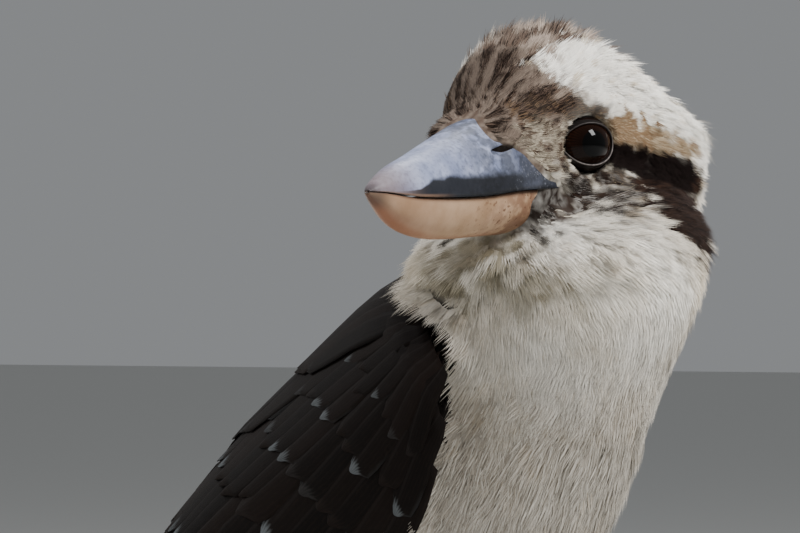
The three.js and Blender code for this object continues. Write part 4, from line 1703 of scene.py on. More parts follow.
@dataclass
class Coat:
    """The small feathers over head, neck, trunk and thighs."""

    skin: Piece
    seed: int = 5
    shapes_each: int = 2
    eye_clear: tuple[float, float] = (8.8, 5.9)
    eye_clear_ahead: float = 1.4
    bill_clear: float = 0.35
    eye_depth: float = 12.0
    shown_share: float = 0.6
    own_normal_share: float = 0.35
    probes: int = 20000
    area: float = field(init=False, default=0.0)

    def sample(self, count: int, rng: np.random.Generator) -> tuple[Array, Array]:
        """Even random places on the skin and its normals there.

        Args:
            count: how many places.
            rng: the random draw.

        Returns:
            The places and the normals.
        """
        mesh = self.skin.data
        mesh.calc_loop_triangles()
        corners = np.zeros(len(mesh.loop_triangles) * 3, np.int32)
        mesh.loop_triangles.foreach_get("vertices", corners)
        corners = corners.reshape(-1, 3)
        points, normals = points_of(self.skin), normals_of(self.skin)
        a, b, c = (points[corners[:, k]] for k in range(3))
        area = np.linalg.norm(np.cross(b - a, c - a), axis=1) / 2
        self.area = float(area.sum())
        chosen = rng.choice(len(area), count, p=area / area.sum())
        first, second = np.sqrt(rng.random((count, 1))), rng.random((count, 1))
        weights = np.hstack([1 - first, first * (1 - second), first * second])
        tri = corners[chosen]
        place = sum(points[tri[:, k]] * weights[:, k:k + 1] for k in range(3))
        normal = unit(sum(normals[tri[:, k]] * weights[:, k:k + 1] for k in range(3)))
        return place, normal

    def bare(self, points: Array) -> Array:
        """Where no feather grows: on the eyes and under the bill's horn.

        Args:
            points: places in the row frame, in millimetres.

        Returns:
            True for each point that stays bare.
        """
        out = BILL_FORM.covers(*HEAD.local(points), self.bill_clear)
        for side in Side:
            forward, left, up = EYE_FORM.axes(side).local(points)
            ahead = -side.value * left - self.eye_clear_ahead
            near = np.abs(forward) < self.eye_depth
            out |= (np.hypot(ahead / self.eye_clear[0], up / self.eye_clear[1]) < 1) & near
        return out

    def roots(self, patch: Patch, rng: np.random.Generator) -> Roots:
        """The roots of one patch.

        Args:
            patch: the patch.
            rng: the random draw.

        Returns:
            Its roots.
        """
        share = float(np.mean(patch.where(self.sample(self.probes, rng)[0])))
        count = int(self.area * patch.per_mm2 * share)
        points, normals = self.sample(int(count / max(share, 1e-3)), rng)
        keep = patch.where(points) & ~self.bare(points)
        points, normals = points[keep], normals[keep]
        lie = LIE.flow(points, normals)
        turn = np.radians(rng.normal(0, patch.ruffle_deg, len(points)))[:, None]
        lie = lie * np.cos(turn) + np.cross(normals, lie) * np.sin(turn)
        length = patch.length(points) * rng.uniform(0.8, 1.2, len(points))
        shown = points + lie * (length * self.shown_share)[:, None]
        tint, tip = MARKINGS.paint(shown, rng.random(len(points)))
        tone = rng.uniform(0.88, 1.08, (len(points), 1))
        ruffled = np.where(rng.random(len(points)) < patch.shaggy_share, 2.0, 1.0)
        lift = patch.lift(points) * rng.uniform(0.7, 1.3, len(points)) * ruffled
        return Roots(points, normals, lie, length * patch.width_share, length, lift, tint * tone,
                     tip * tone, patch.chart(points))

    def _soften(self, piece: Piece) -> None:
        """Shades the feathers mostly as the surface that they lie on.

        Args:
            piece: the patch's mesh object.
        """
        attribute = piece.data.attributes["normal_way"]
        way = np.zeros(len(piece.data.vertices) * 3, np.float32)
        attribute.data.foreach_get("vector", way)
        own = normals_of(piece)
        way = way.reshape(-1, 3)
        own *= np.sign((own * way).sum(axis=1, keepdims=True))
        mixed = unit(lerp(way, own, self.own_normal_share))
        piece.data.attributes.remove(attribute)
        piece.data.normals_split_custom_set_from_vertices(mixed.tolist())

    def build(self, patches: Sequence[Patch], finish: Material) -> None:
        """Grows every patch as a piece of its own.

        Args:
            patches: the patches, in order.
            finish: the feathers' material.
        """
        tree = CoatTree()
        for number, patch in enumerate(patches):
            rng = np.random.default_rng(self.seed + number)
            roots = self.roots(patch, rng)
            kind = rng.integers(0, self.shapes_each, len(roots.points))
            parts = []
            for variant in range(self.shapes_each):
                feather = Feather(patch.form, 100 * number + variant, patch.strands).build()
                parts.append(tree.grow(patch.name, roots.pick(kind == variant), feather, finish))
                bpy.data.objects.remove(feather)
            piece = join(patch.name, parts)
            self._soften(piece)
            finish_piece(piece, patch.slot)
        bpy.data.node_groups.remove(tree.tree)


def unwrapped(axes: Axes, points: Array, middle: float, low: float, high: float) -> Array:
    """Places on a map that is unwrapped round a frame's forward line.

    Args:
        axes: the frame.
        points: places on the skin, in millimetres.
        middle: how high over the frame's origin the line runs.
        low: where the map starts along it.
        high: where it ends.

    Returns:
        Two numbers from 0 to 1 for each point.
    """
    f, l, u = axes.local(points)
    along = np.clip(0.01 + 0.98 * (f - low) / (high - low), 0.005, 0.99)
    return np.stack([0.5 + np.arctan2(l, u - middle) / (2 * math.pi) * 0.96, along], axis=-1)


def head_chart(points: Array) -> Array:
    """The head unwrapped round its forward line."""
    return unwrapped(HEAD, points, 2, -60, 34)


def trunk_chart(points: Array) -> Array:
    """The neck, trunk and thighs unwrapped round the trunk's line."""
    return unwrapped(TRUNK, points, -10, -110, 130)


# Long feathers


@dataclass(frozen=True)
class VaneShape:
    """The outline and section of a long feather."""

    outline: Profile = Profile((0, 0.5), (0.12, 0.82), (0.35, 1.0), (0.75, 0.98), (0.9, 0.8), (0.97, 0.5),
                               (1, 0.22))
    rows: int = 15
    columns: int = 9
    thickness: float = 0.3
    camber: float = 0.5
    shaft_height: float = 0.22
    shaft_width: float = 0.13
    fray: float = 0.012
    bend: float = 0.35
    tip_sweep: float = 0.16
    tip_start: float = 0.93


@dataclass
class VaneSet:
    """Long feathers gathered into one mesh, each a thin closed plate."""

    seed: int
    points: list[Array] = field(default_factory=list)
    faces: list[tuple[int, ...]] = field(default_factory=list)
    blade: list[Array] = field(default_factory=list)
    tint: list[Array] = field(default_factory=list)
    tip: list[Array] = field(default_factory=list)
    chart: list[Array] = field(default_factory=list)
    count: int = 0
    spot: tuple[float, float] = (0.03, 0.045)
    rng: np.random.Generator = field(init=False)

    def __post_init__(self) -> None:
        """Starts the set's own random draw."""
        self.rng = np.random.default_rng(self.seed)

    def add(self, at: Callable[[Array, Array, Array], Array], per_mm: Callable[[Array], Array],
            root: Sequence[float], tip: Sequence[float], width: float, lift: tuple[float, float],
            shape: VaneShape, tilt: float, tint: Array, tip_tint: Array, place: tuple[float, float]) -> None:
        """Adds one feather laid on a surface.

        Args:
            at: the surface's point at a distance along, a place across and a lift.
            per_mm: how much across makes one millimetre at a distance along.
            root: its root's distance along and place across.
            tip: its tip's.
            width: its full width.
            lift: its height over the surface at the root and at the tip.
            shape: its outline and section.
            tilt: how far its far edge is raised and its near edge lowered.
            tint: its colour.
            tip_tint: the colour of its tip.
            place: where its patch lies on the piece's map.
        """
        t = np.linspace(0, 1, shape.rows)
        s = np.linspace(-1, 1, shape.columns)
        rows, columns = shape.rows, shape.columns
        t = np.linspace(0, 1, rows)[:, None]
        s = np.linspace(-1, 1, columns)[None, :]
        curve = self.rng.uniform(-shape.bend, shape.bend) / max(width, 1)
        along, middle = lerp(root[0], tip[0], t), lerp(root[1], tip[1], t)
        wide = shape.outline(t) * width / 2
        fray = 1 + shape.fray * self.rng.normal(size=(rows, columns)) * (np.abs(s) > 0.9)
        across = middle + (s * fray * wide + curve * (t * t * width)) * per_mm(along)
        swept = along - s**2 * width * shape.tip_sweep * (t > shape.tip_start)
        rise = lerp(lift[0], lift[1], smooth(0, 0.35, t)) - shape.camber * s**2 + tilt * s
        rise = rise + shape.shaft_height * np.exp(-((s / shape.shaft_width) ** 2)) * (1 - 0.7 * t)
        self.points += [at(swept, across, rise - drop).reshape(-1, 3) for drop in (0.0, shape.thickness)]
        self._close(rows, columns)
        tone = np.full((1, 1), self.rng.random())
        blade = np.stack(np.broadcast_arrays(s, t, tone), axis=-1).reshape(-1, 3)
        chart = np.array(place) + blade[:, :2] * (0.5, 1.0) * self.spot
        self.blade += [blade, blade]
        self.chart += [chart, chart]
        self.tint.append(np.tile(tint, (2 * rows * columns, 1)))
        self.tip.append(np.tile(tip_tint, (2 * rows * columns, 1)))
        self.count += 2 * rows * columns

    def _close(self, rows: int, columns: int) -> None:
        """Adds the faces of one plate: its upper side, its lower side and its rim.

        Args:
            rows: how many rows of points each side has.
            columns: how many points a row has.
        """
        base, size = self.count, rows * columns
        top = grid_faces(rows, columns, False, base)
        self.faces += top
        self.faces += [tuple(i + size for i in reversed(face)) for face in top]
        last_row = size - columns
        rim = [*range(columns), *range(2 * columns - 1, size, columns)]
        rim += [*range(size - 2, last_row - 1, -1), *range(last_row - columns, 0, -columns)]
        for first, last in zip(rim, rim[1:] + rim[:1]):
            self.faces.append((base + last, base + first, base + size + first, base + size + last))

    def build(self, name: str, finish: Material, slot: Slot, nodes: Sequence[str] = ()) -> None:
        """Makes the set one finished piece.

        Args:
            name: the piece's name.
            finish: its material.
            slot: the record's slot.
            nodes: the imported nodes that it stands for.
        """
        piece = make_object(name, np.vstack(self.points), self.faces)
        store(piece, "blade", np.vstack(self.blade))
        store_colour(piece, "tint", np.vstack(self.tint))
        store_colour(piece, "tip", np.vstack(self.tip))
        layer = piece.data.uv_layers.new(name="OFBake")
        corners = np.zeros(len(piece.data.loops), np.int32)
        piece.data.loops.foreach_get("vertex_index", corners)
        layer.data.foreach_set("uv", np.vstack(self.chart)[corners].astype(np.float32).ravel())
        piece.data.materials.append(finish)
        finish_piece(piece, slot, nodes)


@dataclass(frozen=True)
class Tier:
    """One tier of a wing's feathers; roots and tips are given for its first and last."""

    count: int
    roots: tuple[tuple[float, float], tuple[float, float]]
    tips: tuple[tuple[float, float], tuple[float, float]]
    widths: tuple[float, float]
    lift: float
    tilt: float
    drop: float = 0.0
    frost: float = 0.0
    tones: tuple[Shade, Shade] = (Shade.BACK, Shade.BACK_PALE)


@dataclass
class Wings:
    """Both folded wings: long feathers below, coverts over them in rows and scapulars on top."""

    shape: VaneShape = VaneShape()
    covert: VaneShape = VaneShape(
        outline=Profile((0, 0.5), (0.2, 0.88), (0.55, 1.0), (0.82, 0.9), (0.94, 0.62), (1, 0.3)),
        rows=9, columns=9, camber=0.7, thickness=0.25, fray=0.03)
    tiers: tuple[Tier, ...] = (
        Tier(9, ((84, 80), (80, 120)), ((178, 60), (138, 108)), (11, 11), -0.6, 0.3, 0.22),
        Tier(10, ((62, 34), (62, 125)), ((146, 44), (112, 120)), (11, 12), 1.0, 0.45, 0.12),
        Tier(4, ((46, 16), (52, 40)), ((152, 24), (134, 44)), (15, 14), 2.3, 0.3, 0.3),
        Tier(13, ((46, 30), (34, 124)), ((96, 40), (76, 130)), (12.5, 12), 2.2, 0.6, 0.0, 0.8),
        Tier(13, ((30, 32), (20, 121)), ((72, 38), (54, 128)), (12, 11.5), 2.9, 0.6, 0.0, 0.9),
        Tier(13, ((14, 38), (6, 113)), ((52, 38), (36, 124)), (11.5, 11), 3.5, 0.6, 0.0, 0.9),
        Tier(11, ((2, 44), (-4, 102)), ((34, 40), (20, 117)), (10.5, 10), 3.9, 0.6, 0.0, 0.8),
        Tier(9, ((-8, 52), (-11, 88)), ((18, 46), (7, 106)), (9.5, 9), 4.0, 0.6, 0.0, 0.6),
        Tier(5, ((0, 22), (2, 50)), ((78, 14), (60, 42)), (17, 15), 4.6, 0.4, 0.15, 0.2),
        Tier(5, ((-10, 26), (-8, 56)), ((48, 14), (36, 46)), (16, 14), 5.4, 0.4, 0.1, 0.2),
    )
    long_tiers: int = 3
    jitter: float = 1.4
    root_sink: float = 3.0

    def build(self, side: Side, finish: Material) -> None:
        """Lays one wing's feathers.

        Args:
            side: which wing.
            finish: the feathers' material.
        """
        vanes = VaneSet(seed=40 + side.value)
        rng = vanes.rng
        at = partial(WING_FORM.point, side)
        for number, tier in enumerate(self.tiers):
            long = number < self.long_tiers
            base, pale = (shade.linear for shade in tier.tones)
            roots, tips = np.array(tier.roots), np.array(tier.tips)
            for k in range(tier.count):
                t = k / (tier.count - 1)
                shift = rng.normal(0, self.jitter * (0.5 if long else 1.0), 2) * (1.0, 0.8)
                tint = lerp(base, pale, rng.uniform(0, 0.5))
                frost = tier.frost * float(smooth(0.3, 0.8, rng.random()))
                vanes.add(at, WING_FORM.degrees_per_mm, lerp(*roots, t), lerp(*tips, t) + shift,
                          float(lerp(*tier.widths, t)),
                          (tier.lift - self.root_sink, tier.lift - tier.drop * k),
                          self.shape if long else self.covert, tier.tilt, tint,
                          lerp(lerp(base, pale, 0.5), Shade.FROST.linear, frost),
                          (0.05 + 0.9 * t, 0.03 + 0.9 * number / len(self.tiers)))
        vanes.build(f"wing_feathers_{side.label}", finish, Slot.WING, [f"wing_{side.label}"])


@dataclass
class Mantle:
    """Broad dark feathers over the back, from the nape down between the wings."""

    rows: Profile = Profile((0, -8), (1, 70))
    spread: Profile = Profile((-8, 26), (20, 22), (70, 15))
    row_count: int = 9
    column_count: int = 6
    length: float = 31.0
    side_loss: float = 5.0
    width: float = 14.0
    root_sink: float = 2.5
    tip_glow: float = 1.5
    lift: Profile = Profile((-8, 3.0), (20, 4.6), (70, 4.2))
    shape: VaneShape = VaneShape(
        outline=Profile((0, 0.5), (0.25, 0.85), (0.6, 1.0), (0.85, 0.86), (0.95, 0.6), (1, 0.3)),
        rows=9, columns=9, camber=0.6, thickness=0.25, fray=0.05)

    def build(self, finish: Material) -> None:
        """Lays the back's broad feathers.

        Args:
            finish: the feathers' material.
        """
        vanes = VaneSet(seed=71)
        rng = vanes.rng
        at = partial(WING_FORM.point, Side.LEFT)
        for row in range(self.row_count):
            start = float(self.rows(row / (self.row_count - 1)))
            reach = float(self.spread(start))
            for column in range(self.column_count):
                share = (column + 0.5 * (row % 2)) / (self.column_count - 0.5) * 2 - 1
                turn = share * reach + rng.normal(0, 1.2)
                length = self.length + rng.normal(0, 1.5) - self.side_loss * share * share
                tint = lerp(Shade.BACK.linear, Shade.BACK_PALE.linear, rng.uniform(0.1, 0.9))
                height = float(self.lift(start))
                place = (0.08 + 0.84 * column / self.column_count, 0.05 + 0.9 * row / self.row_count)
                vanes.add(at, WING_FORM.degrees_per_mm, (start, turn), (start + length, turn * 0.9),
                          self.width, (height - self.root_sink, height), self.shape, 0.0,
                          tint, tint * self.tip_glow, place)
        vanes.build("mantle_feathers", finish, Slot.WING)


@dataclass
class TailFeathers:
    """The twelve long tail feathers, closed over one another."""

    length: float = 148.0
    pairs: int = 6
    step: float = 0.85
    top: float = 2.6
    arch: float = 0.006
    root_start: float = 4.0
    root_spread: tuple[float, float] = (1.5, 1.3)
    tip_spread: tuple[float, float] = (2.2, 3.6)
    width: tuple[float, float] = (17.0, -0.4)
    shape: VaneShape = VaneShape(rows=26, columns=9, thickness=0.35, camber=0.4)

    def _at(self, a: Array, across: Array, up: Array) -> Array:
        """A point of the tail's slightly arched sheet."""
        return TAIL.at(-np.asarray(a, float), across, up - self.arch * np.asarray(across) ** 2)

    def build(self, finish: Material) -> None:
        """Lays the tail's long feathers.

        Args:
            finish: the feathers' material.
        """
        vanes = VaneSet(seed=61)
        for pair in range(self.pairs):
            for sign in (1, -1):
                layer = min(pair, 2) * 2 + (1 if sign < 0 and pair < 2 else 0) + max(pair - 2, 0)
                height = self.top - self.step * layer
                end = self.length - 2.2 * max(pair - 1, 0) ** 1.4
                tint = lerp(Shade.RUFOUS.linear, Shade.BACK.linear, 0.35 if pair == 0 else 0.0)
                aside, tip_aside, width = (first + pair * step for first, step in
                                           (self.root_spread, self.tip_spread, self.width))
                vanes.add(self._at, np.ones_like, (self.root_start, sign * aside), (end, sign * tip_aside),
                          width, (height * 0.7, height), self.shape, 0.0, tint, Shade.WHITE.linear,
                          (0.08 + 0.07 * (2 * pair + (sign > 0)), 0.1))
        vanes.build("tail_feathers", finish, Slot.TAIL, ["tail"])


# Finishes of the plumage


@dataclass(frozen=True)
class PlumageFinish:
    """Soft body feathers: each keeps its own tint, darkened towards the root by painted shade and paler at
    the tip.
    """

    roughness: float = 0.82
    root_shade: float = 0.6
    strand_change: float = 0.25

    def build(self) -> Material:
        """The material of the small feathers.

        Returns:
            The material.
        """
        shader = Shader("plumage")
        across, along, tone = shader.parts(shader.attribute("blade", "Vector"))
        streak = tone.rise(0.46, 0.6) * along.rise(0.1, 0.4)
        ends = along.rise(0.5, 1.0) * 0.55
        tint = shader.mix(streak + ends - streak * ends, shader.attribute("tint", "Color"),
                          shader.attribute("tip", "Color"))
        # Painted shade: each feather is darkened towards its root, where the feathers over it would shade
        # it; the strand's tone also varies at random.
        shade = (self.root_shade + (1 - self.root_shade) * along.rise(0.0, 0.6)) * \
            (1 - self.strand_change * 0.5 + self.strand_change * tone)
        colour = shader.mix(1.0, tint, shader.grey(shade), "MULTIPLY")
        barbs = (across * 26 + along * 40).wave()
        return shader.surface(Base_Color=colour, Roughness=self.roughness, Specular_IOR_Level=0.06,
                              Normal=shader.bump(barbs, 0.05, 0.35))


@dataclass(frozen=True)
class SkinFinish:
    """Bare skin and down under the coat, in the coat's own colours darkened by painted shade from the
    feathers over it.
    """

    # How dark the painted shade under the feathers makes the coat's colours.
    shade: float = 0.7

    def build(self) -> Material:
        """The material of the skin.

        Returns:
            The material.
        """
        shader = Shader("down")
        fleck = shader.noise(1.2, 4.0)
        # Painted shade: the coat's colours are darkened here as if shaded by the feathers over the skin.
        tint = shader.mix(1.0, shader.attribute("tint", "Color"), (self.shade,) * 3, "MULTIPLY")
        colour = shader.mix(fleck.rise(0.3, 0.8) * 0.4, tint, (0.03, 0.024, 0.02))
        return shader.surface(Base_Color=colour, Roughness=0.9, Specular_IOR_Level=0.1,
                              Normal=shader.bump(fleck, 0.4, 0.6))


@dataclass(frozen=True)
class VaneFinish:
    """Long feathers with a shaft, fine slanting barbs and a pale edge towards the tip."""

    roughness: float = 0.66
    barbs: float = 90.0
    edge_start: float = 0.72
    barred: bool = False

    def build(self) -> Material:
        """The material of the long feathers.

        Returns:
            The material.
        """
        shader = Shader("tail_vane" if self.barred else "wing_vane")
        across, along, tone = shader.parts(shader.attribute("blade", "Vector"))
        tint = shader.attribute("tint", "Color")
        tip = shader.attribute("tip", "Color")
        slant = along * self.barbs - abs(across) * (self.barbs * 0.16)
        lines = (slant * 6.283).wave()
        fleck = shader.noise(2.2, 4.0)
        if self.barred:
            wave = (along * 52.0 + abs(across) * 1.5 + tone * 6.0 + fleck * 1.6).sine()
            tint = shader.mix(wave.rise(0.25, 0.55) * along.rise(0.05, 0.12), tint, Shade.BAR.value)
            colour = shader.mix((along + fleck * 0.03).rise(0.925, 0.95), tint, tip)
        else:
            combed = (across * 34 + fleck * 5).wave()
            aside = abs(across - 0.15 + tone * 0.5 - 0.25)
            spot = (along - aside * 0.08 + combed * 0.035 + fleck * 0.05).rise(0.895, 0.975)
            worn_edge = (abs(across) + fleck * 0.2).rise(0.88, 1.08)
            rim = worn_edge * along.rise(self.edge_start - 0.2, self.edge_start)
            frosted = spot * (1 - aside.rise(0.6, 1.0)) * (0.6 + combed * 0.4)
            colour = shader.mix(frosted + rim * 0.08, tint, tip)
            streak = (combed * 0.5 + fleck * 0.5).rise(0.5, 0.9) * 0.35
            colour = shader.mix(streak, colour, (0.016, 0.010, 0.007))
        worn = 0.82 + 0.25 * lines * (0.4 + fleck)
        colour = shader.mix(1.0, colour, shader.grey(worn), "MULTIPLY")
        shaft = 1 - abs(across).rise(0.03, 0.09)
        colour = shader.mix(shaft * 0.6 * (1 - along.rise(0.7, 1.0)), colour, (0.012, 0.009, 0.008))
        height = lines * 0.6 + fleck * 0.4
        return shader.surface(Base_Color=colour, Roughness=self.roughness, Specular_IOR_Level=0.06,
                              Normal=shader.bump(height, 0.12, 0.5))


# Bill


class Horn(Enum):
    """The two halves of the bill."""

    UPPER = 1
    LOWER = -1


@dataclass
class Bill:
    """Both halves of the bill, with nostrils and a rounded cutting edge."""

    form: BillForm = BILL_FORM
    rows: int = 150
    columns: int = 61
    roof_columns: int = 15
    roof_height: float = 1.4
    mouth_gap: float = 0.15
    nostril: tuple[float, float] = (30.2, -2.0)
    nostril_reach: tuple[float, float] = (4.2, 1.2)
    nostril_slant: float = 0.12
    nostril_depth: float = 1.6

    def build(self, horn: Horn, finish: Material) -> None:
        """Makes one half of the bill.

        Args:
            horn: which half.
            finish: its material.
        """
        form, sign = self.form, horn.value
        share = np.linspace(0, 1, self.rows)
        f = lerp(form.back, form.tip, 1 - (1 - share) ** 1.35)
        limit = form.ridge if horn is Horn.UPPER else form.under
        width = 1.0 if horn is Horn.UPPER else form.lower_share
        half = form.half(f) * width
        edge = form.edge(f) + sign * self.mouth_gap
        height = np.maximum(sign * (limit(f) - edge), 0.25)
        angle = np.linspace(0, math.pi, self.columns)
        bow = np.abs(np.cos(angle)) ** form.arch * np.sign(np.cos(angle))
        rise = np.sin(angle) ** form.arch
        left = half[:, None] * bow
        up = edge[:, None] + sign * height[:, None] * rise
        if horn is Horn.UPPER:
            left = self._carve(f, left, up)
        inner = np.linspace(1, -1, self.roof_columns)[1:-1]
        hollow = np.minimum(self.roof_height, height * 0.4)[:, None]
        roof = edge[:, None] + sign * hollow * (1 - inner[None, :] ** 2)
        ring_left = np.hstack([left, -half[:, None] * inner])
        ring_up = np.hstack([up, roof])
        ring_f = np.broadcast_to(f[:, None], ring_left.shape)
        piece = loft(f"bill_{horn.name.lower()}_horn", HEAD.at(ring_f, ring_left, ring_up))
        outer = np.arange(ring_left.shape[1]) < self.columns
        level = np.where(outer, np.concatenate([rise, np.zeros(len(inner))]), 0.0)
        flat = np.stack(np.broadcast_arrays(ring_f, level, ring_left), axis=-1).reshape(-1, 3)
        ends = np.array([[f[0], 0.5, 0.0], [f[-1], 0.5, 0.0]])
        store(piece, "horn", np.vstack([flat, ends]))
        piece.data.materials.append(finish)
        slot = Slot.BILL_DARK if horn is Horn.UPPER else Slot.BILL_PALE
        finish_piece(piece, slot, [f"bill_{horn.name.lower()}"])

    def _carve(self, f: Array, left: Array, up: Array) -> Array:
        """Presses the nostrils in and hollows the sides below them.

        Args:
            f: how far forward each ring lies.
            left: how far left each point of each ring lies.
            up: how far up each lies.

        Returns:
            How far left each point lies after it.
        """
        full = np.broadcast_to(f[:, None], left.shape)
        (ahead, high), (long, tall) = self.nostril, self.nostril_reach
        rise = up - (high + self.nostril_slant * (ahead - full))
        away = np.hypot((full - ahead) / long, rise / tall)
        pit = 1 - smooth(0.55, 1.15, away)
        lip = np.exp(-((away - 1.5) / 0.35) ** 2) * 0.25 * (rise > 0)
        left = left * (1 - (self.nostril_depth * pit - lip) / np.maximum(np.abs(left), 2.0))
        hollow = np.exp(-((up - (high - 3.5)) / 3.0) ** 2) * smooth(58, 30, full) * 0.35
        return left * (1 - hollow / np.maximum(np.abs(left), 2.0))


@dataclass(frozen=True)
class HornFinish:
    """Satin horn with growth lines, stains and scratches; the upper half's top carries a painted reflection
    of the sky.
    """

    horn: Horn

    def build(self) -> Material:
        """The material of one half of the bill.

        Returns:
            The material.
        """
        shader = Shader(f"horn_{self.horn.name.lower()}")
        f, level, _ = shader.parts(shader.attribute("horn", "Vector"))
        cloud = shader.noise(9.0, 4.0)
        fleck = shader.noise(1.1, 5.0)
        blotch = shader.noise(3.2, 4.0)
        grain = shader.noise(0.45, 2.0)
        if self.horn is Horn.UPPER:
            # Painted reflection: the top of the upper bill is painted pale blue-grey for the sky that it
            # reflects; the near-black band along the cutting edge is the horn's own dark colour.
            pale = shader.mix(cloud.rise(0.35, 0.7), rgb(0x737B97), rgb(0x9FA5BD))
            near_root = 1 - (f + blotch * 14).rise(40.0, 62.0)
            pale = shader.mix(fleck.rise(0.42, 0.75) * (near_root * 0.35 + 0.5), pale, rgb(0x4E546A))
            pale = shader.mix(blotch.rise(0.36, 0.58) * near_root * 0.75, pale, rgb(0x34373F))
            taper = 1 + f.rise(58.0, 76.0) * 4
            wave = level * taper + (cloud - 0.5) * 0.14 + (blotch - 0.5) * 0.12 - f * 0.0066
            ahead = 1 - (f + cloud * 6).rise(68.0, 78.0)
            band = (1 - wave.rise(0.0, 0.14)) * f.rise(14.0, 27.0) * ahead
            base_dark = (1 - (f + blotch * 8).rise(18.0, 42.0)) * 0.9
            colour = shader.mix(band * 0.97, pale, rgb(0x090B10))
            colour = shader.mix(base_dark * (1 - level.rise(0.6, 1.0)), colour, rgb(0x24262C))
            flaked = shader.noise(0.8, 2.0).rise(0.6, 0.72) * (1 - level.rise(0.3, 0.6))
            colour = shader.mix((1 - f.rise(14.0, 34.0)) * flaked * 0.5, colour, rgb(0x8A8C98))
            hem = (1 - level.rise(0.03, 0.1)) * f.rise(50.0, 64.0)
            colour = shader.mix(hem * 0.8, colour, rgb(0x7E624F))
            tip = f.rise(60.0, 76.0)
            colour = shader.mix(tip * 0.75, colour, rgb(0x6E5A52))
            colour = shader.mix(f.rise(76.0, 80.0) * 0.8, colour, rgb(0x2C2425))
            pit = shader.noise(0.9, 2.0).rise(0.66, 0.78) * (1 - f.rise(20.0, 46.0))
            colour = shader.mix(pit * 0.6, colour, rgb(0x3A3D47))
            roughness = 0.4 + fleck * 0.2 + band * 0.12
        else:
            base = shader.mix(cloud.rise(0.3, 0.7), rgb(0x8E7257), rgb(0xA68A70))
            stain = (1 - f.rise(18.0, 46.0)) * blotch.rise(0.38, 0.6)
            colour = shader.mix(stain * 0.75, base, rgb(0x6A4836))
            speck = shader.noise(1.3, 2.0).rise(0.6, 0.68) * (1 - f.rise(28.0, 52.0))
            colour = shader.mix(speck * 0.8, colour, rgb(0x54321F))
            rim = f.rise(44.0, 74.0) * (0.35 + 0.65 * level.rise(0.55, 1.0))
            colour = shader.mix(rim * 0.8, colour, rgb(0x7A523C))
            keel = level.rise(0.86, 1.0) * f.rise(18.0, 30.0)
            colour = shader.mix(keel * 0.55, colour, rgb(0x7B4F38))
            edge = 1 - level.rise(0.0, 0.14)
            colour = shader.mix(edge * 0.75, colour, rgb(0x4A3028))
            colour = shader.mix((f + cloud * 4).rise(74.0, 80.0) * 0.7, colour, rgb(0x3A2A24))
            roughness = 0.4 + fleck * 0.2
        rings = (f * 2.1 + cloud * 5).wave()
        height = rings * 0.04 + fleck * 0.35 + grain * 0.2 + blotch * 0.35
        return shader.surface(Base_Color=colour, Roughness=roughness, Specular_IOR_Level=0.22,
                              Normal=shader.bump(height, 0.22, 0.5))


# Eyes


@dataclass
class Eyes:
    """The eyeballs and the bare rings of lid round them."""

    form: EyeForm = EYE_FORM
    lid_points: int = 96
    lid_rows: int = 26
    lid_stand: float = 0.45
    bead_height: float = 0.05
    beads: int = 31
    reach: Profile = Profile((0, -0.3), (0.2, 0.0), (0.36, 0.25), (0.55, 0.5), (0.8, 0.9), (1, 1.6))
    stand: Profile = Profile((0, -0.8), (0.2, -0.15), (0.36, 0.0), (0.55, -0.35), (0.8, -1.2), (1, -3.2))
    cornea: float = 0.5
    ball_rows: int = 90

    def build(self, side: Side, ball_finish: Material, lid_finish: Material) -> None:
        """One eye with its lids."""
        self._ball(side, ball_finish)
        self._lids(side, lid_finish)

    def _ball(self, side: Side, finish: Material) -> None:
        """The eyeball, a little proud over the iris.

        Args:
            side: which eye.
            finish: its material.
        """
        axes = self.form.axes(side)
        theta = np.linspace(0, math.pi, self.ball_rows)[1:-1]
        radius = self.form.radius + self.cornea * (1 - smooth(0.0, 0.75, theta))
        angle, wide = circle(self.lid_points), (radius * np.sin(theta))[:, None]
        out = radius * np.cos(theta) - self.form.sink
        piece = stack_rings(f"eyeball_{side.label}", axes, out, wide * np.cos(angle), wide * np.sin(angle))
        out, left, up = axes.local(points_of(piece))
        store(piece, "gaze", np.stack([np.hypot(left, up), np.arctan2(up, left), out], axis=-1))
        piece.data.materials.append(finish)
        finish_piece(piece, Slot.EYE, [f"eye_{side.label}"])

    def _lids(self, side: Side, finish: Material) -> None:
        """The ring of lid: up from the ball, over a beaded rim and down among the feathers.

        Args:
            side: which eye.
            finish: the lids' material.
        """
        axes, form, count = self.form.axes(side), self.form, self.lid_points
        angle = circle(count)
        cosine, sine = np.cos(angle), np.sin(angle)
        wide, tall = form.half_width * (1 + 0.05 * cosine**8), form.half_height
        inner = ((wide - 0.2) * cosine) ** 2 + ((tall - 0.2) * sine) ** 2
        ball = np.sqrt(np.maximum(form.radius**2 - inner, 1.0)) - form.sink
        rows = []
        for t in np.linspace(0, 1, self.lid_rows):
            grow, stand = float(self.reach(t)), float(self.stand(t)) + self.lid_stand
            rim = self.bead_height * math.exp(-((t - 0.36) / 0.2) ** 2)
            bead = rim * np.sin(angle * self.beads + 3 * math.sin(9 * t))
            rows.append(axes.at(ball + stand + bead, (wide + grow) * cosine, (tall + grow) * sine))
        rows.append(axes.at(np.full(count, -5.0), (wide + 2) * cosine, (tall + 2) * sine))
        start = self.lid_rows * count
        faces = grid_faces(self.lid_rows + 1, count, True)
        faces += [(start + c, start + (c + 1) % count, (c + 1) % count, c) for c in range(count)]
        piece = make_object(f"eyelids_{side.label}", np.vstack(rows), faces)
        turn_outwards(piece)
        t = np.append(np.linspace(0, 1, self.lid_rows), 1.0)[:, None]
        store(piece, "lid", np.stack(np.broadcast_arrays(t, cosine, sine), axis=-1).reshape(-1, 3))
        piece.data.materials.append(finish)
        finish_piece(piece, Slot.HEAD)


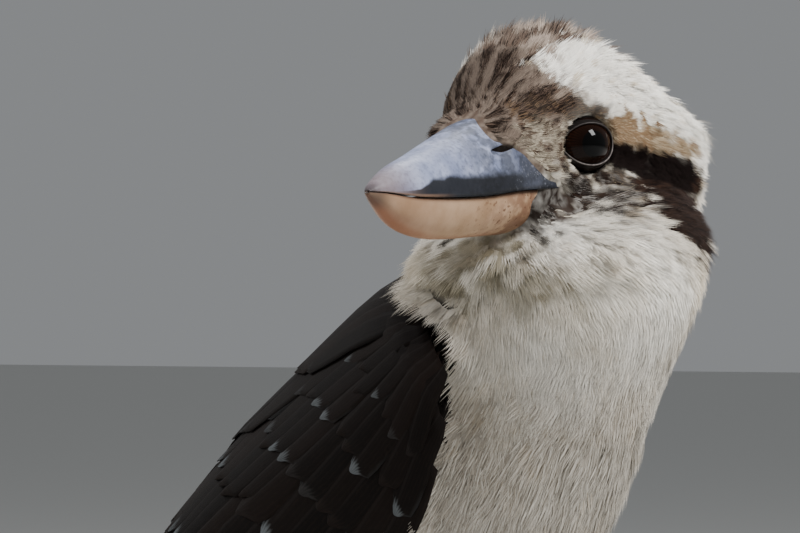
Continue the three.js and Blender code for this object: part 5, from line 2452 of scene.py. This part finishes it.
def turn_outwards(piece: Piece) -> None:
    """Makes a closed mesh's faces point out.

    Args:
        piece: the mesh object.
    """
    work = bmesh.new()
    work.from_mesh(piece.data)
    bmesh.ops.recalc_face_normals(work, faces=work.faces)
    work.to_mesh(piece.data)
    work.free()


@dataclass(frozen=True)
class EyeFinish:
    """A wet, very dark brown iris round a black pupil."""

    pupil: float = 3.3
    iris: float = 6.4

    def build(self) -> Material:
        """The eyeball's material.

        Returns:
            The material.
        """
        shader = Shader("eyeball")
        r, around, _ = shader.parts(shader.attribute("gaze", "Vector"))
        rays = (around * 47).wave()
        iris = shader.mix(rays * 0.6 * r.rise(self.pupil, self.iris), rgb(0x120906), rgb(0x2A160D))
        colour = shader.mix(1 - r.rise(self.pupil - 0.15, self.pupil + 0.25), iris, (0.002, 0.002, 0.002))
        colour = shader.mix(r.rise(self.iris - 0.3, self.iris + 0.3), colour, (0.004, 0.003, 0.003))
        return shader.surface(Base_Color=colour, Roughness=0.05, IOR=1.17)


@dataclass(frozen=True)
class LidFinish:
    """Dark bare skin with a pale grey worn rim."""

    def build(self) -> Material:
        """The lids' material.

        Returns:
            The material.
        """
        shader = Shader("lids")
        along, side, up = shader.parts(shader.attribute("lid", "Vector"))
        fleck = shader.noise(0.8, 4.0)
        rim = along.rise(0.2, 0.28) * (1 - along.rise(0.38, 0.48))
        pale = shader.mix(fleck.rise(0.3, 0.7), rgb(0x4A423F), rgb(0x6E6662))
        low = 0.3 + 0.7 * (side * 0.6 - up).rise(-0.4, 0.9)
        colour = shader.mix(rim * low, rgb(0x0F0A09), pale)
        return shader.surface(Base_Color=colour, Roughness=0.5, Specular_IOR_Level=0.25,
                              Normal=shader.bump(fleck, 0.15, 0.5))


# Legs


@dataclass(frozen=True)
class Toe:
    """One toe: its length, its spread from straight ahead and its radius."""

    length: float
    spread_deg: float
    radius: float


@dataclass
class Legs:
    """Shanks, feet and claws."""

    toes: tuple[Toe, ...] = (Toe(27, -2, 2.9), Toe(23, 17, 2.8), Toe(19, -21, 2.7), Toe(15, 168, 2.8))
    shank: Profile = Profile((5, 4.2), (10, 3.6), (15, 3.1), (22, 3.1), (29, 3.4), (37, 3.8))
    shank_top: float = 44.0
    heel_y: float = 1.6
    shank_lean: float = 0.11
    palm: tuple[float, float, float] = (4.8, 6.2, 4.3)
    palm_height: float = 4.2
    claw_length: float = 8.5
    claw_radius: float = 1.55
    scute: tuple[float, float] = (0.22, 3.4)
    toe_scute: tuple[float, float] = (0.2, 2.4)
    around: int = 28

    def build(self, side: Side, skin_finish: Material, claw_finish: Material) -> None:
        """One leg below the feathers.

        Args:
            side: which leg.
            skin_finish: the leg's material.
            claw_finish: the claws' material.
        """
        parts = [self._shank(side), self._palm(side)] + [self._toe(side, toe) for toe in self.toes]
        foot = join(f"leg_{side.label}", parts)
        foot.data.materials.append(skin_finish)
        finish_piece(foot, Slot.LEGS, [f"shank_{side.label}", f"foot_{side.label}"])
        claws = join(f"claws_{side.label}", [self._claw(side, toe) for toe in self.toes])
        claws.data.materials.append(claw_finish)
        finish_piece(claws, Slot.LEGS)

    def _at(self, side: Side, x: Any, y: Any, z: Any) -> Array:
        """Points of the bird's frame, mirrored to the side."""
        return np.stack(np.broadcast_arrays(side.value * np.asarray(x, float), y, z), axis=-1) + ORIGIN

    def _rod(self, name: str, centres: Array, radii: Array, scute: Array) -> Piece:
        """A rod through centres with plates raised along its front or top.

        Args:
            name: the piece's name.
            centres: the middle of each ring.
            radii: the radius of each ring.
            scute: how far each ring's plate is raised.

        Returns:
            The rod as a closed body.
        """
        along = unit(np.gradient(centres, axis=0))
        side = unit(np.cross(along, np.array([0.0, 0.35, 1.0])))
        rise = np.cross(side, along)
        angle = circle(self.around)
        front = np.clip(np.sin(angle), 0, 1) ** 0.5
        reach = radii[:, None] + scute[:, None] * front[None, :]
        rings = centres[:, None, :] + side[:, None, :] * (reach * np.cos(angle))[..., None] \
            + rise[:, None, :] * (reach * np.sin(angle))[..., None]
        return loft(name, rings)

    def _shank(self, side: Side) -> Piece:
        """The scaled shank.

        Args:
            side: which leg.

        Returns:
            The shank as a closed body.
        """
        z = np.linspace(3.5, self.shank_top, 120)
        centres = self._at(side, STANCE_HALF, 1 + z * self.shank_lean, z)
        return self._rod(f"shank_core_{side.label}", centres, self.shank(z), self._plates(z, *self.scute))

    @staticmethod
    def _plates(distance: Array, height: float, length: float) -> Array:
        """How far plates of the given height and length are raised along a rod."""
        return height * np.sin(math.pi * ((distance / length) % 1)) ** 0.5

    def _palm(self, side: Side) -> Piece:
        """The pad where the toes meet.

        Args:
            side: which leg.

        Returns:
            The pad as a closed body.
        """
        theta = np.linspace(0.05, math.pi - 0.05, 24)[:, None]
        angle = circle(self.around)
        wide, long, tall = self.palm
        x = STANCE_HALF + wide * np.sin(theta) * np.cos(angle)
        y = long * np.cos(theta) + self.heel_y
        z = np.maximum(self.palm_height + tall * np.sin(theta) * np.sin(angle), 0.05)
        return loft(f"palm_{side.label}", self._at(side, x, y, z))

    def _line(self, side: Side, toe: Toe, distance: Array, z: Array) -> Array:
        """Points along a toe.

        Args:
            side: which leg.
            toe: the toe.
            distance: how far from the heel.
            z: how high.

        Returns:
            The points in the row frame.
        """
        spread = math.radians(toe.spread_deg)
        y = self.heel_y - distance * math.cos(spread)
        return self._at(side, STANCE_HALF + distance * math.sin(spread), y, z)

    def _toe(self, side: Side, toe: Toe) -> Piece:
        """A toe with its pads and the plates along its top.

        Args:
            side: which leg.
            toe: the toe.

        Returns:
            The toe as a closed body.
        """
        t = np.linspace(0, 1, 70)
        knuckle = 1 + 0.1 * np.cos(2 * math.pi * t * 2)
        radii = toe.radius * knuckle * (1 - 0.22 * t) * np.sqrt(1 - smooth(0.94, 1.02, t) * 0.8)
        centres = self._line(side, toe, toe.length * t, radii + 0.05 + 1.4 * (1 - t) ** 2)
        plates = self._plates(t * toe.length, *self.toe_scute)
        return self._rod(f"toe_{side.label}", centres, radii, plates)

    def _claw(self, side: Side, toe: Toe) -> Piece:
        """A curved claw.

        Args:
            side: which leg.
            toe: the toe.

        Returns:
            The claw as a closed body.
        """
        t = np.linspace(0, 1, 30)
        z = 2.9 + 1.5 * np.sin(math.pi * t * 0.9) - 2 * t
        radii = self.claw_radius * (1 - t) ** 0.8 + 0.12
        centres = self._line(side, toe, toe.length - 1.5 + self.claw_length * t, z)
        return self._rod(f"claw_{side.label}", centres, radii, np.zeros_like(t))


@dataclass(frozen=True)
class LegFinish:
    """Grey-green scaled skin or dark claw."""

    claw: bool = False

    def build(self) -> Material:
        """The legs' or the claws' material.

        Returns:
            The material.
        """
        shader = Shader("claw" if self.claw else "leg_skin")
        cloud, fleck = shader.noise(6.0, 4.0), shader.noise(0.7, 3.0)
        if self.claw:
            colour = shader.mix(cloud, rgb(0x1D1815), rgb(0x3A322C))
            return shader.surface(Base_Color=colour, Roughness=0.35, Normal=shader.bump(fleck, 0.1, 0.4))
        cells = shader.node("ShaderNodeTexVoronoi", {"feature": "DISTANCE_TO_EDGE"},
                            {"Vector": shader.place(), "Scale": 900.0}, "Distance")
        base = shader.mix(cloud.rise(0.3, 0.7), rgb(0x6E6C5A), rgb(0x8E8A74))
        colour = shader.mix((1 - cells.rise(0.0, 0.12)) * 0.6, base, rgb(0x3F3B30))
        return shader.surface(Base_Color=colour, Roughness=0.6,
                              Normal=shader.bump(cells.rise(0.0, 0.2) * 0.8 + fleck * 0.2, 0.25, 0.7))


# Studio


@dataclass
class Studio:
    """The floor, the lights and the camera at the photograph's angle."""

    azimuth_deg: float = -52.0
    distance: float = 2000.0
    sensor: float = 36.0
    floor_reach: float = 9000.0
    eye_px: tuple[float, float] = (588.0, 144.0)

    def build(self) -> None:
        """Sets up everything that is not the bird."""
        self._floor()
        self._lights()
        self._camera()

    def _across(self) -> Array:
        """The picture's rightward direction."""
        turn = math.radians(self.azimuth_deg)
        return np.array([math.cos(turn), math.sin(turn), 0.0])

    def _back(self) -> Array:
        """The direction from the bird to the camera."""
        turn = math.radians(self.azimuth_deg)
        return np.array([math.sin(turn), -math.cos(turn), 0.0])

    def _camera(self) -> None:
        """A long lens that frames the bird as the photograph does."""
        eye = EYE_FORM.middle(Side.LEFT)
        right = (PHOTO_WIDTH_PX / 2 - self.eye_px[0]) / PX_PER_MM
        down = (PHOTO_HEIGHT_PX / 2 - self.eye_px[1]) / PX_PER_MM
        aim = eye + self._across() * right - np.array([0.0, 0.0, down])
        data = bpy.data.cameras.new("camera")
        data.sensor_width = self.sensor
        data.lens = self.sensor * self.distance * PX_PER_MM / PHOTO_WIDTH_PX
        data.clip_end = 50.0
        camera = bpy.data.objects.new("camera", data)
        camera.location = Vector((aim + self._back() * self.distance) * METRES_PER_MM)
        camera.rotation_euler = Vector(-self._back()).to_track_quat("-Z", "Y").to_euler()
        bpy.context.scene.collection.objects.link(camera)
        bpy.context.scene.camera = camera

    def _floor(self) -> None:
        """A plain pale floor."""
        corners = np.array([(-1, -1, 0), (1, -1, 0), (1, 1, 0), (-1, 1, 0)]) * self.floor_reach
        floor = make_object("floor", corners, [(0, 1, 2, 3)])
        shader = Shader("floor")
        floor.data.materials.append(shader.surface(Base_Color=(0.62, 0.62, 0.6), Roughness=0.9))

    def _lights(self) -> None:
        """A soft key, lights from the side and from behind, and a pale sky."""
        across, back = self._across(), self._back()
        middle = HEAD.at(0.0, 0.0, -40.0)
        up = np.array([0.0, 0.0, 1.0])
        lamps = (("key", across * 0.62 + back * 0.36 + up * 0.8, 1500.0, 480.0, 40.0),
                 ("side", across * -1.0 + back * -0.35 + up * 0.6, 1600.0, 900.0, 20.0),
                 ("rim", across * 0.3 + back * -0.9 + up * 0.8, 1500.0, 700.0, 22.0))
        for name, way, distance, size, power in lamps:
            data = bpy.data.lights.new(name, "AREA")
            data.energy = power
            data.size = size * METRES_PER_MM
            lamp = bpy.data.objects.new(name, data)
            way = unit(way)
            lamp.location = Vector((middle + way * distance) * METRES_PER_MM)
            lamp.rotation_euler = Vector(-way).to_track_quat("-Z", "Y").to_euler()
            bpy.context.scene.collection.objects.link(lamp)
        world = bpy.data.worlds.new("sky")
        world.use_nodes = True
        ground = world.node_tree.nodes["Background"]
        ground.inputs["Color"].default_value = (0.9, 0.93, 0.96, 1.0)
        ground.inputs["Strength"].default_value = 0.27
        bpy.context.scene.world = world


# The bird


def steady(value: float) -> Callable[[Array], Array]:
    """A measure that is the same at every point."""
    return lambda points: np.full(len(points), value)


def coat_patches(skin: Skin) -> list[Patch]:
    """The coat's regions, from the face down to the thighs.

    Args:
        skin: the skin's maker, which knows where the wings lie.

    Returns:
        The patches, in the order in which they grow.
    """

    def on_head(points: Array) -> Array:
        """The head, down to the throat."""
        return points[:, 2] > 174 + 3 * MARKINGS.fine(points)

    def face(points: Array) -> Array:
        """Round the eyes and the bill's root.

        Args:
            points: places in the row frame, in millimetres.

        Returns:
            True for each point on it.
        """
        f, l, u = HEAD.local(points)
        away = np.stack([(f + 2) / 1.25, np.abs(l) - 19, u * 1.1], axis=-1)
        return (np.linalg.norm(away, axis=1) < 15) | (f > 13)

    def bare_wing(points: Array) -> Array:
        """Off the folded wings."""
        return skin.on_wing(points) < 0.5

    def back(points: Array) -> Array:
        """The dark back."""
        return MARKINGS.on_back(points) > 0.5

    def collar(points: Array) -> Array:
        """The neck's foot, over the wings' shoulders."""
        z = points[:, 2]
        return (z > 158) & (z < 176) & (TRUNK.local(points)[2] > -16) & (HEAD.local(points)[2] < -24)

    def flank(points: Array) -> Array:
        """Along the wings' lower edges."""
        return (LIE.beside_wing(points) > 0.4) & (points[:, 2] < 168)

    def length_head(points: Array) -> Array:
        """Longer on the crown, the nape and below the cheeks.

        Args:
            points: places in the row frame, in millimetres.

        Returns:
            Millimetres for each.
        """
        f, _, u = HEAD.local(points)
        crown, nape, cheek = smooth(12, 26, u), smooth(-26, -46, f), smooth(-6, -24, u)
        return 6.0 + 3.0 * crown + 5.0 * nape + 3.0 * cheek

    def length_face(points: Array) -> Array:
        """Shortest at the eyes' rims."""
        away = np.min([np.linalg.norm(points - EYE_FORM.middle(side), axis=1) for side in Side], axis=0)
        return 1.9 + 2.6 * smooth(8, 18, away) + 1.0 * smooth(8, 20, HEAD.local(points)[2])

    def lift_head(points: Array) -> Array:
        """Fuller on the crown, the nape and the cheeks.

        Args:
            points: places in the row frame, in millimetres.

        Returns:
            Millimetres for each.
        """
        f, _, u = HEAD.local(points)
        crown, nape, cheek = smooth(14, 28, u), smooth(-30, -48, f), smooth(-6, -20, u)
        return 1.5 + 1.0 * crown + 1.4 * nape + 0.9 * cheek

    def under(points: Array) -> Array:
        """Neck, breast, belly and thighs."""
        return ~on_head(points) & bare_wing(points) & ~back(points)

    def between(low: float, high: float) -> Callable[[Array], Array]:
        """The light underparts over one height and up to another."""
        return lambda p: under(p) & (p[:, 2] > low) & (p[:, 2] <= high)

    head = Patch("coat_crown", Slot.HEAD, Form.WHISK,
                 lambda p: on_head(p) & ~face(p) & (HEAD.local(p)[2] > 6), per_mm2=1.3, length=length_head,
                 width_share=0.36, lift=lift_head, chart=head_chart, strands=11, shaggy_share=0.12)
    body = Patch("coat_neck", Slot.BODY, Form.PLUME, lambda p: under(p) & (p[:, 2] > 132), per_mm2=0.66,
                 length=steady(10.5), width_share=0.4, lift=steady(2.0), chart=trunk_chart, strands=13,
                 ruffle_deg=7.0)
    breast = replace(body, per_mm2=0.32, length=steady(15.0), width_share=0.36, lift=steady(2.5))
    return [
        *(replace(head, name=f"coat_face_{side.label}",
                  where=lambda p, side=side: on_head(p) & face(p) & (side.value * HEAD.local(p)[1] > 0),
                  per_mm2=4.4, length=length_face, width_share=0.5, lift=steady(0.7), strands=8,
                  ruffle_deg=9.0, shaggy_share=0.0) for side in Side),
        head,
        replace(head, name="coat_cheeks", where=lambda p: on_head(p) & ~face(p) & (HEAD.local(p)[2] <= 6),
                per_mm2=1.1, shaggy_share=0.0),
        body,
        replace(breast, name="coat_breast", where=between(92.0, 132.0)),
        replace(breast, name="coat_belly", where=between(0.0, 92.0)),
        replace(body, name="coat_collar", per_mm2=0.5, length=steady(11.0), width_share=0.36,
                where=lambda p: collar(p) & ((p[:, 2] > 162) | bare_wing(p)) & ~back(p),
                lift=lambda p: 2.0 + 1.6 * smooth(-10, 4, TRUNK.local(p)[2]), ruffle_deg=9.0),
        replace(body, name="coat_flank", where=lambda p: flank(p) & bare_wing(p) & ~back(p), per_mm2=0.5,
                length=steady(12.0), lift=steady(4.6), ruffle_deg=12.0),
        replace(body, name="coat_back", form=Form.SCALE,
                where=lambda p: ~on_head(p) & bare_wing(p) & back(p), per_mm2=0.36,
                length=lambda p: 12.0 - 4.0 * smooth(18, 34, (p - ORIGIN)[:, 1]), width_share=0.5,
                strands=9),
    ]


def dress_skin() -> None:
    """Builds the skin and grows the coat on it."""
    skin = Skin()
    piece = skin.build()
    points = points_of(piece)
    draw = 0.5 + 0.35 * MARKINGS.fine(points * 2.3)
    tint, _ = MARKINGS.paint(points, np.clip(draw, 0, 1))
    wing = (skin.on_wing(points) * smooth(169, 161, points[:, 2]))[:, None]
    tint = lerp(tint, Shade.BACK.linear, wing)
    store_colour(piece, "tint", tint)
    piece.data.materials.append(SkinFinish().build())
    Coat(piece).build(coat_patches(skin), PlumageFinish().build())
    finish_piece(piece, Slot.BODY, ["head", "neck", "torso", "thigh_left", "thigh_right"])


def main() -> None:
    """Builds the bird piece by piece, and then its studio."""
    logging.basicConfig(level=logging.INFO, format="%(message)s")
    dress_skin()
    wing_finish = VaneFinish().build()
    for side in Side:
        Wings().build(side, wing_finish)
    Mantle().build(wing_finish)
    TailFeathers().build(VaneFinish(barred=True).build())
    for horn in Horn:
        Bill().build(horn, HornFinish(horn).build())
    eye_finish, lid_finish = EyeFinish().build(), LidFinish().build()
    leg_finish, claw_finish = LegFinish().build(), LegFinish(claw=True).build()
    for side in Side:
        Eyes().build(side, eye_finish, lid_finish)
        Legs().build(side, leg_finish, claw_finish)
    Studio().build()


if __name__ == "__main__":
    main()
